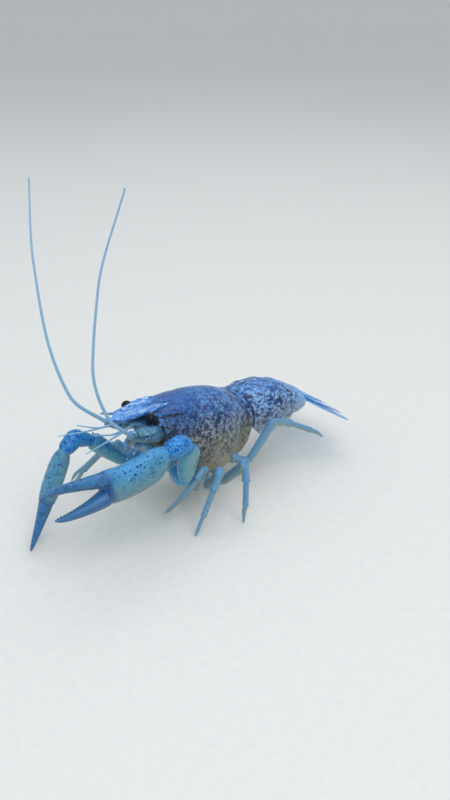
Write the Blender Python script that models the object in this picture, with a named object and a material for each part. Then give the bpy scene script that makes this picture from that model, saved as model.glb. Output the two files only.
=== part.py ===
"""Blue crayfish at life size, standing on its walking legs with both claws held forward.

Lengths are in millimetres and are turned into metres where a mesh is made.
The animal faces +X, its left side is +Y, and the floor is at Z = 0.
"""

import math

import bmesh
import bpy
from mathutils import Matrix, Vector

MM = 0.001
GAP = 0.3  # clear space between neighbouring plates

# Driving dimensions of the animal.
CARAPACE_LENGTH = 44.0  # rear margin to the tip of the rostrum
CARAPACE_HALF_WIDTH = 11.0
CARAPACE_DEPTH = 22.5
ABDOMEN_LENGTH = 28.6  # six segments, along the middle line
ABDOMEN_HALF_WIDTH = 8.8
ABDOMEN_DEPTH = 10.5
TELSON_LENGTH = 13.0
CLAW_LENGTH = 36.0
ANTENNA_LENGTH = 72.0

# How it stands.
REAR_HEIGHT = 28.0  # height of the carapace's rear margin on the middle line
CARAPACE_PITCH = math.radians(13.5)  # head held up
ORIGIN = Vector((16.91, -2.69, 0.0))  # middle of the animal's own box on the floor

COLOURS = {
    "shell": (0.16, 0.27, 0.50),
    "tail": (0.20, 0.36, 0.62),
    "limb": (0.28, 0.50, 0.68),
    "claw": (0.12, 0.40, 0.66),
    "finger": (0.06, 0.17, 0.38),
    "eye": (0.01, 0.01, 0.02),
    "feeler": (0.30, 0.50, 0.72),
}
ROUGHNESS = {"eye": 0.1}


def clear_scene():
    for found in list(bpy.data.objects):
        bpy.data.objects.remove(found, do_unlink=True)


def material(name):
    made = bpy.data.materials.get(name)
    if made is None:
        made = bpy.data.materials.new(name)
        made.use_nodes = True
        shader = made.node_tree.nodes["Principled BSDF"]
        shader.inputs["Base Color"].default_value = (*COLOURS[name], 1.0)
        shader.inputs["Roughness"].default_value = ROUGHNESS.get(name, 0.35)
        shader.inputs["Metallic"].default_value = 0.0
    return made


# Curves and meshes that every part is made with.


def profile(points, at):
    """A smooth value at a place, through (place, value) pairs, with no overshoot."""
    if at <= points[0][0]:
        return points[0][1]
    if at >= points[-1][0]:
        return points[-1][1]
    steps = [
        (after[1] - before[1]) / (after[0] - before[0])
        for before, after in zip(points, points[1:])
    ]
    slopes = [steps[0]]
    for left, right in zip(steps, steps[1:]):
        slopes.append(0.0 if left * right <= 0 else 2 * left * right / (left + right))
    slopes.append(steps[-1])
    index = max(i for i in range(len(steps)) if points[i][0] <= at)
    width = points[index + 1][0] - points[index][0]
    t = (at - points[index][0]) / width
    return (
        (1 + 2 * t) * (1 - t) ** 2 * points[index][1]
        + t * (1 - t) ** 2 * width * slopes[index]
        + t * t * (3 - 2 * t) * points[index + 1][1]
        + t * t * (t - 1) * width * slopes[index + 1]
    )


def smooth_path(points, count):
    """Points along one smooth curve through a few given ones."""
    places = [i / (len(points) - 1) for i in range(len(points))]
    columns = [[(place, point[axis]) for place, point in zip(places, points)] for axis in range(3)]
    return [
        Vector([profile(column, step / (count - 1)) for column in columns])
        for step in range(count)
    ]


def loft(rings):
    """Vertices and faces of a closed skin over rings that have the same number of points."""
    count = len(rings[0])
    vertices = [point for ring in rings for point in ring]
    faces = [tuple(range(count)), tuple(range(len(vertices) - count, len(vertices)))]
    for step in range(len(rings) - 1):
        for spot in range(count):
            here = step * count + spot
            beside = step * count + (spot + 1) % count
            faces.append((here, beside, beside + count, here + count))
    return vertices, faces


def fan_cap(solid, first, count, centre):
    """Replaces a flat end face with a fan, for an end that isn't flat."""
    vertices, faces = solid
    loop = set(range(first, first + count))
    faces = [face for face in faces if set(face) != loop]
    middle = len(vertices)
    faces += [(first + i, first + (i + 1) % count, middle) for i in range(count)]
    return vertices + [centre], faces


def mesh_of(name, solid):
    vertices, faces = solid
    mesh = bpy.data.meshes.new(name)
    mesh.from_pydata([(Vector(v) - ORIGIN) * MM for v in vertices], [], faces)
    shape = bmesh.new()
    shape.from_mesh(mesh)
    bmesh.ops.recalc_face_normals(shape, faces=shape.faces)
    shape.to_mesh(mesh)
    shape.free()
    return mesh


def finish(found, material_name):
    found.data.materials.clear()
    found.data.materials.append(material(material_name))
    found.data.shade_smooth()
    found.data.set_sharp_from_angle(angle=math.radians(38))
    return found


def place(name, solid, material_name):
    found = bpy.data.objects.new(name, mesh_of(name, solid))
    bpy.context.scene.collection.objects.link(found)
    return finish(found, material_name)


def keep_largest(mesh):
    """Drops every closed surface but the one with the most volume."""
    shape = bmesh.new()
    shape.from_mesh(mesh)
    left = set(shape.faces)
    islands = []
    while left:
        front = [left.pop()]
        island = list(front)
        while front:
            for edge in front.pop().edges:
                for face in edge.link_faces:
                    if face in left:
                        left.remove(face)
                        front.append(face)
                        island.append(face)
        islands.append(island)
    islands.sort(key=lambda faces: -abs(volume_under(faces)))
    loose = [face for island in islands[1:] for face in island]
    bmesh.ops.delete(shape, geom=loose, context="FACES")
    shape.to_mesh(mesh)
    shape.free()


def volume_under(faces):
    total = 0.0
    for face in faces:
        points = [v.co for v in face.verts]
        for second, third in zip(points[1:], points[2:]):
            total += points[0].dot(second.cross(third)) / 6
    return total


def fuse(name, solids, material_name):
    """Joins closed solids into one node with a Boolean union."""
    base = place(name, solids[0], material_name)
    group = bpy.data.collections.new(name + "_pieces")
    bpy.context.scene.collection.children.link(group)
    for index, solid in enumerate(solids[1:]):
        piece = bpy.data.objects.new(f"{name}_piece_{index}", mesh_of(name, solid))
        group.objects.link(piece)
    union = base.modifiers.new("union", "BOOLEAN")
    union.operation = "UNION"
    union.operand_type = "COLLECTION"
    union.collection = group
    union.solver = "MANIFOLD"
    evaluated = base.evaluated_get(bpy.context.evaluated_depsgraph_get())
    joined = bpy.data.meshes.new_from_object(evaluated)
    base.modifiers.clear()
    base.data = joined
    for piece in list(group.objects):
        bpy.data.objects.remove(piece, do_unlink=True)
    bpy.data.collections.remove(group)
    keep_largest(joined)
    return finish(base, material_name)


def ellipse(centre, normal, side, height, width, count):
    """Points of an ellipse in the plane of a normal, its width along the side direction."""
    across = (side - normal * side.dot(normal)).normalized()
    upward = normal.cross(across)
    turn = 2 * math.pi / count
    return [
        centre
        + upward * (height * math.cos(i * turn))
        + across * (width * math.sin(i * turn))
        for i in range(count)
    ]


# The carapace, in its own frame: x forward from the rear margin, z up from it.

HALF_WIDTH_AT = (
    (0.0, 0.74),
    (0.06, 0.86),
    (0.16, 0.98),
    (0.28, 1.0),
    (0.42, 0.95),
    (0.56, 0.84),
    (0.68, 0.70),
    (0.78, 0.58),
)
TOP_AT = (
    (0.0, 0.0),
    (0.08, 0.045),
    (0.20, 0.075),
    (0.34, 0.07),
    (0.50, 0.045),
    (0.64, 0.008),
    (0.80, -0.055),
    (1.0, -0.145),
)
MIDDLE_AT = ((0.0, -0.30), (0.2, -0.36), (0.5, -0.34), (0.78, -0.26))
LOW_AT = (
    (0.0, -0.78),
    (0.06, -0.84),
    (0.16, -0.885),
    (0.30, -0.89),
    (0.46, -0.83),
    (0.56, -0.70),
    (0.66, -0.54),
    (0.78, -0.42),
)
REAR_AT = (  # how far the rear margin swings back, from the top (0) to the lower edge (1)
    (0.0, 0.0),
    (0.25, -1.9),
    (0.5, -3.1),
    (0.75, -4.0),
    (0.88, -4.1),
    (0.96, -3.2),
    (1.0, -1.4),
)
LOW_ANGLE = math.radians(-39)  # where the side plate's lower edge lies on the section
SQUARENESS = 0.88
GROOVE_AT = 0.35  # the neck groove's place on the middle line
GROOVE_REACH = 0.25  # how much further forward it lies at the lower edge
GROOVE_DEPTH = 0.45
FACE_AT = 0.722  # the flat front of the head, at its upper edge
FACE_TILT = 0.55  # how far that front leans back, per millimetre down
SECTION_STEPS = 13  # points from the lower edge to the middle line
BELLY_STEPS = 3
BELLY_RISE = 1.4  # how far the belly lies above the side plates' lower edge


def stand(point):
    """From the carapace's frame to the animal standing on the floor."""
    x, y, z = point
    cos, sin = math.cos(CARAPACE_PITCH), math.sin(CARAPACE_PITCH)
    return Vector((x * cos - z * sin, y, REAR_HEIGHT + x * sin + z * cos))


def shell_top(x):
    return CARAPACE_DEPTH * profile(TOP_AT, x / CARAPACE_LENGTH)


def shell_low(x):
    return CARAPACE_DEPTH * profile(LOW_AT, x / CARAPACE_LENGTH)


def shell_point(x, angle):
    """A point of the left side plate at an angle from the widest level, 90 degrees on the top."""
    share = x / CARAPACE_LENGTH
    middle = CARAPACE_DEPTH * profile(MIDDLE_AT, share)
    wide = CARAPACE_HALF_WIDTH * profile(HALF_WIDTH_AT, share)
    y = wide * math.cos(angle) ** SQUARENESS
    if angle >= 0:
        return y, middle + (shell_top(x) - middle) * math.sin(angle) ** SQUARENESS
    return y, middle + (shell_low(x) - middle) * math.sin(angle) / math.sin(LOW_ANGLE)


def groove_shift(down):
    return GROOVE_REACH * CARAPACE_LENGTH * down**1.15


def face_x(z):
    return FACE_AT * CARAPACE_LENGTH + FACE_TILT * (z + 3.0)


def shell_ring(share, squeeze=0.0):
    """One closed ring of the carapace.

    Share runs from 0 at the rear margin, by 1 at the neck groove, to 2 at the face.
    """
    groove_x = GROOVE_AT * CARAPACE_LENGTH
    left = []
    for step in range(SECTION_STEPS):
        down = 1 - step / (SECTION_STEPS - 1)
        angle = LOW_ANGLE * down + math.radians(90) * (1 - down)
        if share <= 1:
            x = share * groove_x + profile(REAR_AT, down) * (1 - share) + groove_shift(down) * share
        else:
            front = face_x(shell_point(FACE_AT * CARAPACE_LENGTH, angle)[1])
            x = (groove_x + groove_shift(down)) * (2 - share) + front * (share - 1)
        y, z = shell_point(x, angle)
        shrink = 1 - squeeze / CARAPACE_HALF_WIDTH
        centre = 0.45 * (shell_top(x) + shell_low(x))
        left.append(Vector((x, y * shrink, centre + (z - centre) * shrink)))
    edge = left[0]
    inner = edge.z + BELLY_RISE
    belly = [
        Vector((edge.x, (edge.y - 1.9) * step / BELLY_STEPS, inner))
        for step in range(BELLY_STEPS, 0, -1)
    ]
    middle = Vector((edge.x, 0.0, inner))
    right = [Vector((p.x, -p.y, p.z)) for p in left[:-1]]
    right_belly = [Vector((p.x, -p.y, p.z)) for p in belly]
    return [middle, *reversed(belly), *left, *reversed(right), *right_belly]


def shell_rings(shares, start_gap=0.0, end_gap=0.0):
    rings = [shell_ring(share, squeeze) for share, squeeze in shares]
    for ring, gap in ((rings[0], start_gap), (rings[-1], -end_gap)):
        for point in ring:
            point.x += gap
    return rings


def standing(solid):
    vertices, faces = solid
    return [stand(v) for v in vertices], faces


def ring_centre(ring):
    return sum((Vector(point) for point in ring), Vector()) / len(ring)


RECESS_DEPTH = 1.0  # the rear margin overhangs the first tail segment by this much
RECESS_WALL = 1.3


def thorax_shell():
    rim = shell_ring(0.0)
    centre = ring_centre(rim)
    scale = 1 - RECESS_WALL / CARAPACE_HALF_WIDTH
    inner = [Vector((p.x, p.y * scale, centre.z + (p.z - centre.z) * scale)) for p in rim]
    floor = [Vector((RECESS_DEPTH, p.y, p.z)) for p in inner]
    shares = [(s, 0.0) for s in (0.0, 0.06, 0.16, 0.28, 0.42, 0.56, 0.70, 0.82, 0.92)]
    rings = shell_rings([*shares, (1.0, GROOVE_DEPTH)], end_gap=GAP / 2)
    solid = loft([floor, inner, *rings])
    last = len(solid[0]) - len(rim)
    return standing(fan_cap(solid, last, len(rim), ring_centre(rings[-1])))


def head_shell():
    shares = [(1.0, GROOVE_DEPTH), (1.06, 0.0), (1.18, 0.0), (1.34, 0.0), (1.5, 0.0)]
    shares += [(1.66, 0.0), (1.82, 0.0), (1.93, 0.0), (2.0, 0.25)]
    rings = shell_rings(shares, start_gap=GAP / 2)
    solid = loft(rings)
    return standing(fan_cap(solid, 0, len(rings[0]), ring_centre(rings[0])))


ROSTRUM_HALF_WIDTH_AT = (
    (0.56, 2.2),
    (0.66, 3.3),
    (0.74, 3.7),
    (0.82, 3.1),
    (0.90, 2.5),
    (0.935, 2.3),
    (0.95, 1.5),
    (1.0, 0.12),
)
ROSTRUM_STEPS = (0.56, 0.62, 0.68, 0.74, 0.79, 0.84, 0.89, 0.93, 0.95, 0.975, 1.0)
ROSTRUM_RIM = 0.55  # the raised edge beside the hollow middle


def rostrum():
    rings = []
    for share in ROSTRUM_STEPS:
        x = share * CARAPACE_LENGTH
        wide = profile(ROSTRUM_HALF_WIDTH_AT, share)
        fade = min(1.0, wide / 2.0)
        rise = min(1.0, (share - ROSTRUM_STEPS[0]) / 0.12)
        top = shell_top(x) - 0.5 + 0.62 * rise
        rim = ROSTRUM_RIM * fade * rise
        outline = (
            (0.0, top - 0.15 * fade),
            (0.55 * wide, top + 0.1 * fade),
            (0.86 * wide, top + rim),
            (wide, top + 0.6 * rim),
            (0.97 * wide, top - 0.7 * fade),
            (0.5 * wide, top - 1.2 * fade - 0.2),
            (0.0, top - 1.5 * fade - 0.25),
        )
        left = [Vector((x, y, z)) for y, z in outline]
        right = [Vector((x, -y, z)) for y, z in reversed(outline[1:-1])]
        rings.append(left + right)
    return standing(loft(rings))


def ridge(path, radius, sides=6):
    """A low spindle along a few points of the carapace's frame, sharp at its front end."""
    points = [Vector(p) for p in path]
    rings = []
    for index, point in enumerate(points):
        ahead = points[min(index + 1, len(points) - 1)] - points[max(index - 1, 0)]
        size = radius * (0.15 if index == len(points) - 1 else 1.0)
        size *= 0.5 if index == 0 else 1.0
        rings.append(ellipse(point, ahead.normalized(), Vector((0, 1, 0)), size, size, sides))
    return standing(loft(rings))


def postorbital_ridge(side):
    """The ridge that runs back from a small spine behind each eye."""
    path = []
    for share, lift in ((0.58, 0.05), (0.64, 0.1), (0.69, 0.1), (0.725, 0.15), (0.745, 0.45)):
        x = share * CARAPACE_LENGTH
        y, z = shell_point(min(x, 0.73 * CARAPACE_LENGTH), math.radians(48))
        path.append((x, side * (y + lift), z + lift))
    return ridge(path, 0.55)


def side_spine(share, angle, side, length, radius):
    """A short spine that leans forward off the flank."""
    x = share * CARAPACE_LENGTH
    y, z = shell_point(x, math.radians(angle))
    root = Vector((x - 0.6, side * (y - radius), z))
    tip = Vector((x + length, side * (y + 0.6 * length), z + 0.1))
    rings = [
        ellipse(root.lerp(tip, f), (tip - root).normalized(), Vector((0, 0, 1)), r, r, 6)
        for f, r in ((0.0, radius), (0.5, 0.65 * radius), (1.0, 0.12))
    ]
    return standing(loft(rings))


MOUTH_AT = (27.8, -9.3)  # forward and up
MOUTH_SIZE = (2.4, 1.9, 1.8)

# Places where limbs grow from the body, in the carapace's frame.

COXA_AT = {1: 0.515, 2: 0.37, 3: 0.28, 4: 0.18, 5: 0.045}
COXA_RADIUS = {1: 2.6, 2: 2.0, 3: 2.0, 4: 1.9, 5: 1.8}
COXA_SPREAD = 5.0  # half the distance between a pair's roots
COXA_LEAN = {
    1: (0.35, 0.45, -0.82),
    2: (0.15, 0.5, -0.85),
    3: (0.0, 0.5, -0.87),
    4: (-0.1, 0.5, -0.86),
    5: (-0.5, 0.75, -0.5),
}
COXA_LENGTH = 3.6
COXA_SIDES = 10


def coxa_axis(number, side):
    x = COXA_AT[number] * CARAPACE_LENGTH
    root = Vector((x, side * COXA_SPREAD, shell_low(x) + BELLY_RISE))
    lean = Vector(COXA_LEAN[number]).normalized()
    lean.y *= side
    return root, lean


def coxa(number, side):
    root, lean = coxa_axis(number, side)
    radius = COXA_RADIUS[number]
    stations = ((-1.6, 0.9), (0.6, 1.0), (0.8 * COXA_LENGTH, 1.0), (COXA_LENGTH, 0.9))
    rings = [
        ellipse(root + lean * along, lean, Vector((1, 0, 0)), radius * k, radius * k, COXA_SIDES)
        for along, k in stations
    ]
    return standing(loft(rings))


def hip(number, side):
    """The middle of the coxa's flat end, and the way it faces, for the standing animal."""
    root, lean = coxa_axis(number, side)
    end = stand(root + lean * COXA_LENGTH)
    return end, (end - stand(root)).normalized()


SPINES = ((0.725, 22, 1.6, 0.7), (0.57, 8, 1.0, 0.55))


def mouth():
    """The rounded block of the jaws, low on the head's front."""
    rings = []
    for share in (-0.96, -0.7, -0.2, 0.35, 0.75, 0.97):
        size = math.sqrt(1 - share * share)
        centre = Vector((MOUTH_AT[0] + MOUTH_SIZE[0] * share, 0, MOUTH_AT[1]))
        high, wide = MOUTH_SIZE[2] * size, MOUTH_SIZE[1] * size
        rings.append(ellipse(centre, Vector((1, 0, 0)), Vector((0, 1, 0)), high, wide, 12))
    return standing(loft(rings))


def build_carapace():
    limbs = [coxa(number, side) for number in COXA_AT for side in (1, -1)]
    fuse("thorax", [thorax_shell(), *limbs], "shell")
    spines = [
        side_spine(share, angle, side, length, radius)
        for share, angle, length, radius in SPINES
        for side in (1, -1)
    ]
    ridges = [postorbital_ridge(side) for side in (1, -1)]
    fuse("head", [head_shell(), rostrum(), mouth(), *ridges, *spines], "shell")


# The abdomen: six ringed segments along a bent middle line, then the tail fan.

SEGMENT_SHARES = (0.13, 0.18, 0.18, 0.175, 0.16, 0.175)
SEGMENT_PITCH = (0, 1, -4, -13, -21, -27)
SEGMENT_YAW = (0, 1, 3, 5, 7, 8)  # degrees, towards the animal's left, going back
SEGMENT_WIDTH = (0.84, 0.97, 1.0, 0.95, 0.86, 0.74)
SEGMENT_DEPTH = (0.88, 0.91, 0.96, 0.93, 0.82, 0.66)
PLEURON_DROP = (0.6, 3.4, 3.2, 2.8, 2.2, 0.5)  # how far each side lobe hangs below the joint
STEP_UP = 0.05  # each plate stands this share proud of the front band that slides under it
LINE_BELOW_TOP = 0.46  # the middle line's place, as a share of the depth
RIM_THICKNESS = 1.5  # the first segment's top lies this far under the carapace's rear margin
ARCH_STEPS = 11
LAST_BELLY = 0.35  # share of the last plate's depth below the line that is left at its end


def spine_directions():
    made = []
    for pitch, yaw in zip(SEGMENT_PITCH, SEGMENT_YAW):
        up, left = math.radians(pitch), math.radians(yaw)
        level = math.cos(up)
        made.append(Vector((-level * math.cos(left), level * math.sin(left), math.sin(up))))
    return made


def spine_joints():
    """The joints along the abdomen's middle line, from the carapace to the telson."""
    height = REAR_HEIGHT - RIM_THICKNESS - LINE_BELOW_TOP * ABDOMEN_DEPTH * SEGMENT_DEPTH[0]
    joints = [Vector((RECESS_DEPTH - GAP, 0.0, height))]
    for direction, share in zip(spine_directions(), SEGMENT_SHARES):
        joints.append(joints[-1] + direction * (share * ABDOMEN_LENGTH))
    return joints


def joint_normals():
    ways = spine_directions()
    normals = [Vector((-1, 0, 0))]
    normals += [(before + after).normalized() for before, after in zip(ways, ways[1:])]
    return [*normals, ways[-1]]


def arch(half_width, depth, drop, lean_back, hang=1.0, wall=1.0):
    """The section of a tail segment as (left, up, back): an arch with a lobe at each side."""
    top, belly = LINE_BELOW_TOP * depth, -(1 - LINE_BELOW_TOP) * depth * hang
    low = belly - drop
    left = []
    for step in range(ARCH_STEPS):
        angle = math.radians(90) * step / (ARCH_STEPS - 1)
        y = half_width * math.cos(angle) ** 0.85
        left.append((y, 0.25 * belly + (top - 0.25 * belly) * math.sin(angle) ** 0.9, 0.0))
    flank = [
        (0.93 * half_width, low, lean_back),
        (0.985 * half_width, 0.5 * (low + belly), 0.5 * lean_back),
        (half_width, 0.62 * belly, 0.0),
    ]
    inner = [
        (0.86 * half_width - 0.6 * wall, low + 0.15, lean_back),
        (0.8 * half_width - wall, belly, 0.0),
    ]
    belly_line = [(0.42 * half_width, belly + 0.3, 0.0), (0.0, belly + 0.4, 0.0)]
    half = [*reversed(belly_line), *reversed(inner), *flank, *left]
    mirror = [(-y, z, back) for y, z, back in reversed(half[1:-1])]
    return [*half, *mirror]


def segment_rings(index):
    joints, normals = spine_joints(), joint_normals()
    start, end = joints[index], joints[index + 1]
    stations = ((0.0, 0), (0.12, 0), (0.2, 1), (0.4, 1), (0.62, 1), (0.82, 1), (0.95, 1), (1.0, 1))
    rings = []
    for share, raised in stations:
        normal = normals[index].lerp(normals[index + 1], share).normalized()
        if share == 0:
            centre = start + normal * (GAP / 2 if index else 0.0)
        else:
            centre = start.lerp(end, share) - normal * (GAP / 2 if share == 1 else 0.0)
        across = Vector((0, 0, 1)).cross(normal).normalized() * -1
        upward = across.cross(normal) * -1
        if upward.z < 0:
            upward.negate()
        size = 1.0 if raised else 1 - STEP_UP
        own, follow = SEGMENT_WIDTH[index], SEGMENT_WIDTH[min(index + 1, 5)]
        wide = size * ABDOMEN_HALF_WIDTH * (own + (follow - own) * max(0, share - 0.5))
        own, follow = SEGMENT_DEPTH[index], SEGMENT_DEPTH[min(index + 1, 5)]
        depth = ABDOMEN_DEPTH * (own + (follow - own) * max(0, share - 0.5))
        depth *= size if raised else 1 - 0.8 * STEP_UP
        hang = 1.0 if index < 5 else 1 - (1 - LAST_BELLY) * share**1.5
        if index == 0:
            wide *= 0.86
            depth *= 0.94
        bulge = 1 + 0.03 * math.sin(math.pi * share)
        lobe = PLEURON_DROP[index] * max(0.02, math.sin(math.pi * min(1.0, share * 1.02)) ** 0.7)
        section = arch(wide * bulge, depth, lobe, 1.1 * lobe / 3.0, hang)
        rings.append([centre + across * y + upward * z + normal * back for y, z, back in section])
    return rings


def swimmeret(index, side):
    """A small paddle that hangs back from the belly of a segment."""
    joints, ways = spine_joints(), spine_directions()
    middle = joints[index].lerp(joints[index + 1], 0.45)
    back = ways[index]
    across = Vector((0, 0, 1)).cross(back).normalized() * -1
    down = back.cross(across)
    if down.z > 0:
        down.negate()
    belly = (1 - LINE_BELOW_TOP) * ABDOMEN_DEPTH * SEGMENT_DEPTH[index]
    root = middle + across * (side * 3.6) + down * (belly - 1.4)
    knee = root + down * 2.6 + back * 0.6 + across * (side * 0.4)
    tip = knee + back * 3.0 + down * 2.6 + across * (side * 0.3)
    stations = ((root, 0.7, 0.8), (knee, 0.6, 0.9), (knee.lerp(tip, 0.5), 0.4, 1.1), (tip, 0.28, 0.5))
    rings = []
    for step, (point, thick, wide) in enumerate(stations):
        ahead = stations[min(step + 1, 3)][0] - stations[max(step - 1, 0)][0]
        rings.append(ellipse(point, ahead.normalized(), across, thick, wide, 8))
    return loft(rings)


def build_abdomen():
    for index in range(6):
        solids = [loft(segment_rings(index))]
        if 0 < index < 5:
            solids += [swimmeret(index, side) for side in (1, -1)]
            fuse(f"abdomen_{index + 1}", solids, "tail")
        else:
            place(f"abdomen_{index + 1}", solids[0], "tail")


FAN_PITCH = math.radians(-32)
FAN_YAW = math.radians(8)
FAN_ROLL = math.radians(6)  # its left side stands higher
FAN_DROOP = 0.005  # how much the fan curls down to its sides, per square millimetre
BLADE_SIDES = 14


def fan_axes():
    level = math.cos(FAN_PITCH)
    back = Vector((-level * math.cos(FAN_YAW), level * math.sin(FAN_YAW), math.sin(FAN_PITCH)))
    left = Vector((0, 0, 1)).cross(back).normalized() * -1
    up = left.cross(back) * -1
    if up.z < 0:
        up.negate()
    cos, sin = math.cos(FAN_ROLL), math.sin(FAN_ROLL)
    return back, left * cos + up * sin, up * cos - left * sin


def blade(root, turn, level, stations, lift=0.0):
    """A blade of the tail fan. Root is its start to the left; turn is its angle out to the side."""
    back, left, up = fan_axes()
    base = spine_joints()[-1] + joint_normals()[-1] * (GAP / 2 + lift)
    rings = []
    for along, half_width, thick, shift in stations:
        points = []
        for i in range(BLADE_SIDES):
            angle = 2 * math.pi * i / BLADE_SIDES
            across = shift + half_width * math.copysign(abs(math.cos(angle)) ** 0.8, math.cos(angle))
            height = thick * math.copysign(abs(math.sin(angle)) ** 0.8, math.sin(angle))
            y = root + math.sin(turn) * along + math.cos(turn) * across
            x = math.cos(turn) * along - math.sin(turn) * across
            if along == 0:
                x = 0.0
            droop = FAN_DROOP * y * y * min(1.0, along / 4.0)
            points.append(base + back * x + left * y + up * (level + height - droop))
        rings.append(points)
    return loft(rings)


TELSON = (
    (0.0, 3.3, 0.75, 0),
    (0.08, 3.6, 0.75, 0),
    (0.3, 3.85, 0.65, 0),
    (0.55, 3.8, 0.5, 0),
    (0.6, 3.5, 0.46, 0),
    (0.8, 3.45, 0.38, 0),
    (0.93, 2.9, 0.3, 0),
    (1.0, 1.7, 0.26, 0),
)
UROPOD_INNER = (
    (0.0, 0.95, 0.33, 0),
    (0.1, 1.5, 0.33, 0.1),
    (0.3, 2.6, 0.33, 0.4),
    (0.6, 3.2, 0.32, 0.5),
    (0.82, 3.0, 0.3, 0.4),
    (0.94, 2.3, 0.27, 0.3),
    (1.0, 1.2, 0.25, 0.2),
)
UROPOD_OUTER = (
    (0.0, 0.95, 0.34, 0),
    (0.1, 1.6, 0.34, 0.1),
    (0.3, 3.0, 0.34, 0.4),
    (0.58, 3.8, 0.34, 0.5),
    (0.62, 3.7, 0.28, 0.5),
    (0.84, 3.3, 0.27, 0.4),
    (0.96, 2.2, 0.26, 0.3),
    (1.0, 1.2, 0.25, 0.2),
)
INNER_LENGTH, OUTER_LENGTH = 13.0, 14.6
INNER_TURN, OUTER_TURN = math.radians(15), math.radians(37)
INNER_ROOT, OUTER_ROOT = 5.2, 5.4
TELSON_LEVEL, INNER_LEVEL, OUTER_LEVEL = 2.0, 1.35, 0.45


def stations_of(table, length, side=1):
    return [(share * length, wide, thick, side * shift) for share, wide, thick, shift in table]


def build_tail_fan():
    place("telson", blade(0.0, 0.0, TELSON_LEVEL, stations_of(TELSON, TELSON_LENGTH)), "tail")
    for side, word in ((1, "left"), (-1, "right")):
        inner = stations_of(UROPOD_INNER, INNER_LENGTH, side)
        outer = stations_of(UROPOD_OUTER, OUTER_LENGTH, side)
        place(f"uropod_inner_{word}", blade(side * INNER_ROOT, side * INNER_TURN, INNER_LEVEL, inner), "tail")
        place(f"uropod_outer_{word}", blade(side * OUTER_ROOT, side * OUTER_TURN, OUTER_LEVEL, outer), "tail")


# Limbs: chains of tapered articles that meet in joint planes.

LIMB_SIDES = 8
MOST_STRETCH = 1.3  # a ring across a sharp bend grows no longer than this
SHARP_BEND_GAP = 0.8
PLAIN = ((0.0, 0.86), (0.14, 1.0), (0.85, 1.04), (1.0, 0.88))


def joint_gap(before, after):
    """Half the clear space at a joint, which a sharp bend makes wider."""
    return GAP / 2 * (1 + SHARP_BEND_GAP * (1 - before.dot(after)))


def chain(path, sizes, side, splits, start_normal, tip_normal, count=LIMB_SIDES, shapes=None):
    """Rings of a limb, one list for each node.

    Sizes are (half height, half width) at both ends of each article.
    """
    ways = [(b - a).normalized() for a, b in zip(path, path[1:])]
    normals = [start_normal]
    normals += [(a + b).normalized() for a, b in zip(ways, ways[1:])]
    normals.append(tip_normal)
    nodes, rings = [], []
    for index, way in enumerate(ways):
        first, last = index == 0, index == len(ways) - 1
        for share, swell in shapes[index] if shapes else PLAIN:
            if share == 0 and rings:
                continue
            joint = normals[index] if share < 0.5 else normals[index + 1]
            normal = joint.lerp(way, min(1.0, 2.2 * min(share, 1 - share))).normalized()
            centre = path[index].lerp(path[index + 1], share)
            if share == 0 and first:
                centre = path[0] + normal * (2 * joint_gap(start_normal, way))
            elif share == 0:
                centre = path[index] + normal * joint_gap(ways[index - 1], way)
            elif share == 1 and index + 1 in splits:
                centre = path[index + 1] - normal * joint_gap(way, ways[index + 1])
            stretch = min(MOST_STRETCH, 1 / max(0.1, abs(normal.dot(way))))
            near, far = sizes[index]
            height = (near[0] + (far[0] - near[0]) * share) * stretch
            width = near[1] + (far[1] - near[1]) * share
            if not (last and share == 1):
                height, width = height * swell, width * swell
            rings.append(ellipse(centre, normal, side, height, width, count))
        if index + 1 in splits or last:
            nodes.append(rings)
            rings = []
    return nodes


def bend(start, end, first, second, lean):
    """The joint between two lengths that reach from start to end, on the side of the lean."""
    span = end - start
    reach = min(span.length, 0.999 * (first + second))
    along = (first**2 - second**2 + reach**2) / (2 * reach)
    off = math.sqrt(max(0.0, first**2 - along**2))
    way = span.normalized()
    away = (lean - way * lean.dot(way)).normalized()
    return start + way * along + away * off


# Walking legs. Each foot's place on the floor is given for the left and the right side.
FEET = {
    (2, 1): (30.6, 6.4, 2.6),
    (3, 1): (29.3, 16.5, 0.0),
    (4, 1): (16.2, 22.2, 0.0),
    (5, 1): (-25.0, 16.7, 8.5),
    (2, -1): (38.1, -28.0, 0.0),
    (3, -1): (22.0, -26.0, 0.0),
    (4, -1): (6.0, -26.0, 0.0),
    (5, -1): (-12.0, -22.0, 0.0),
}
KNEES = {
    (2, 1): (23.4, 13.8, 17.2),
    (3, 1): (21.5, 18.2, 17.6),
    (4, 1): (15.0, 21.4, 18.4),
    (5, 1): (-7.0, 12.2, 19.8),
}
ISCHIUM = {2: 4.5, 3: 4.5, 4: 4.2, 5: 4.0}
MERUS = {2: 11.0, 3: 11.5, 4: 10.5, 5: 11.0}
LOWER = {2: 20.0, 3: 21.0, 4: 19.5, 5: 19.0}
LOWER_SHARES = (0.30, 0.72)  # where the wrist and the last joint lie on the lower leg
LOWER_BOW = 0.7
FLEXED_BOW = 2.6  # for the leg that is folded under the body
LEG_SIZE = {2: 1.0, 3: 1.0, 4: 0.95, 5: 1.0}
FOOT_RADIUS = 0.42
UP = Vector((0, 0, 1))


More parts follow.
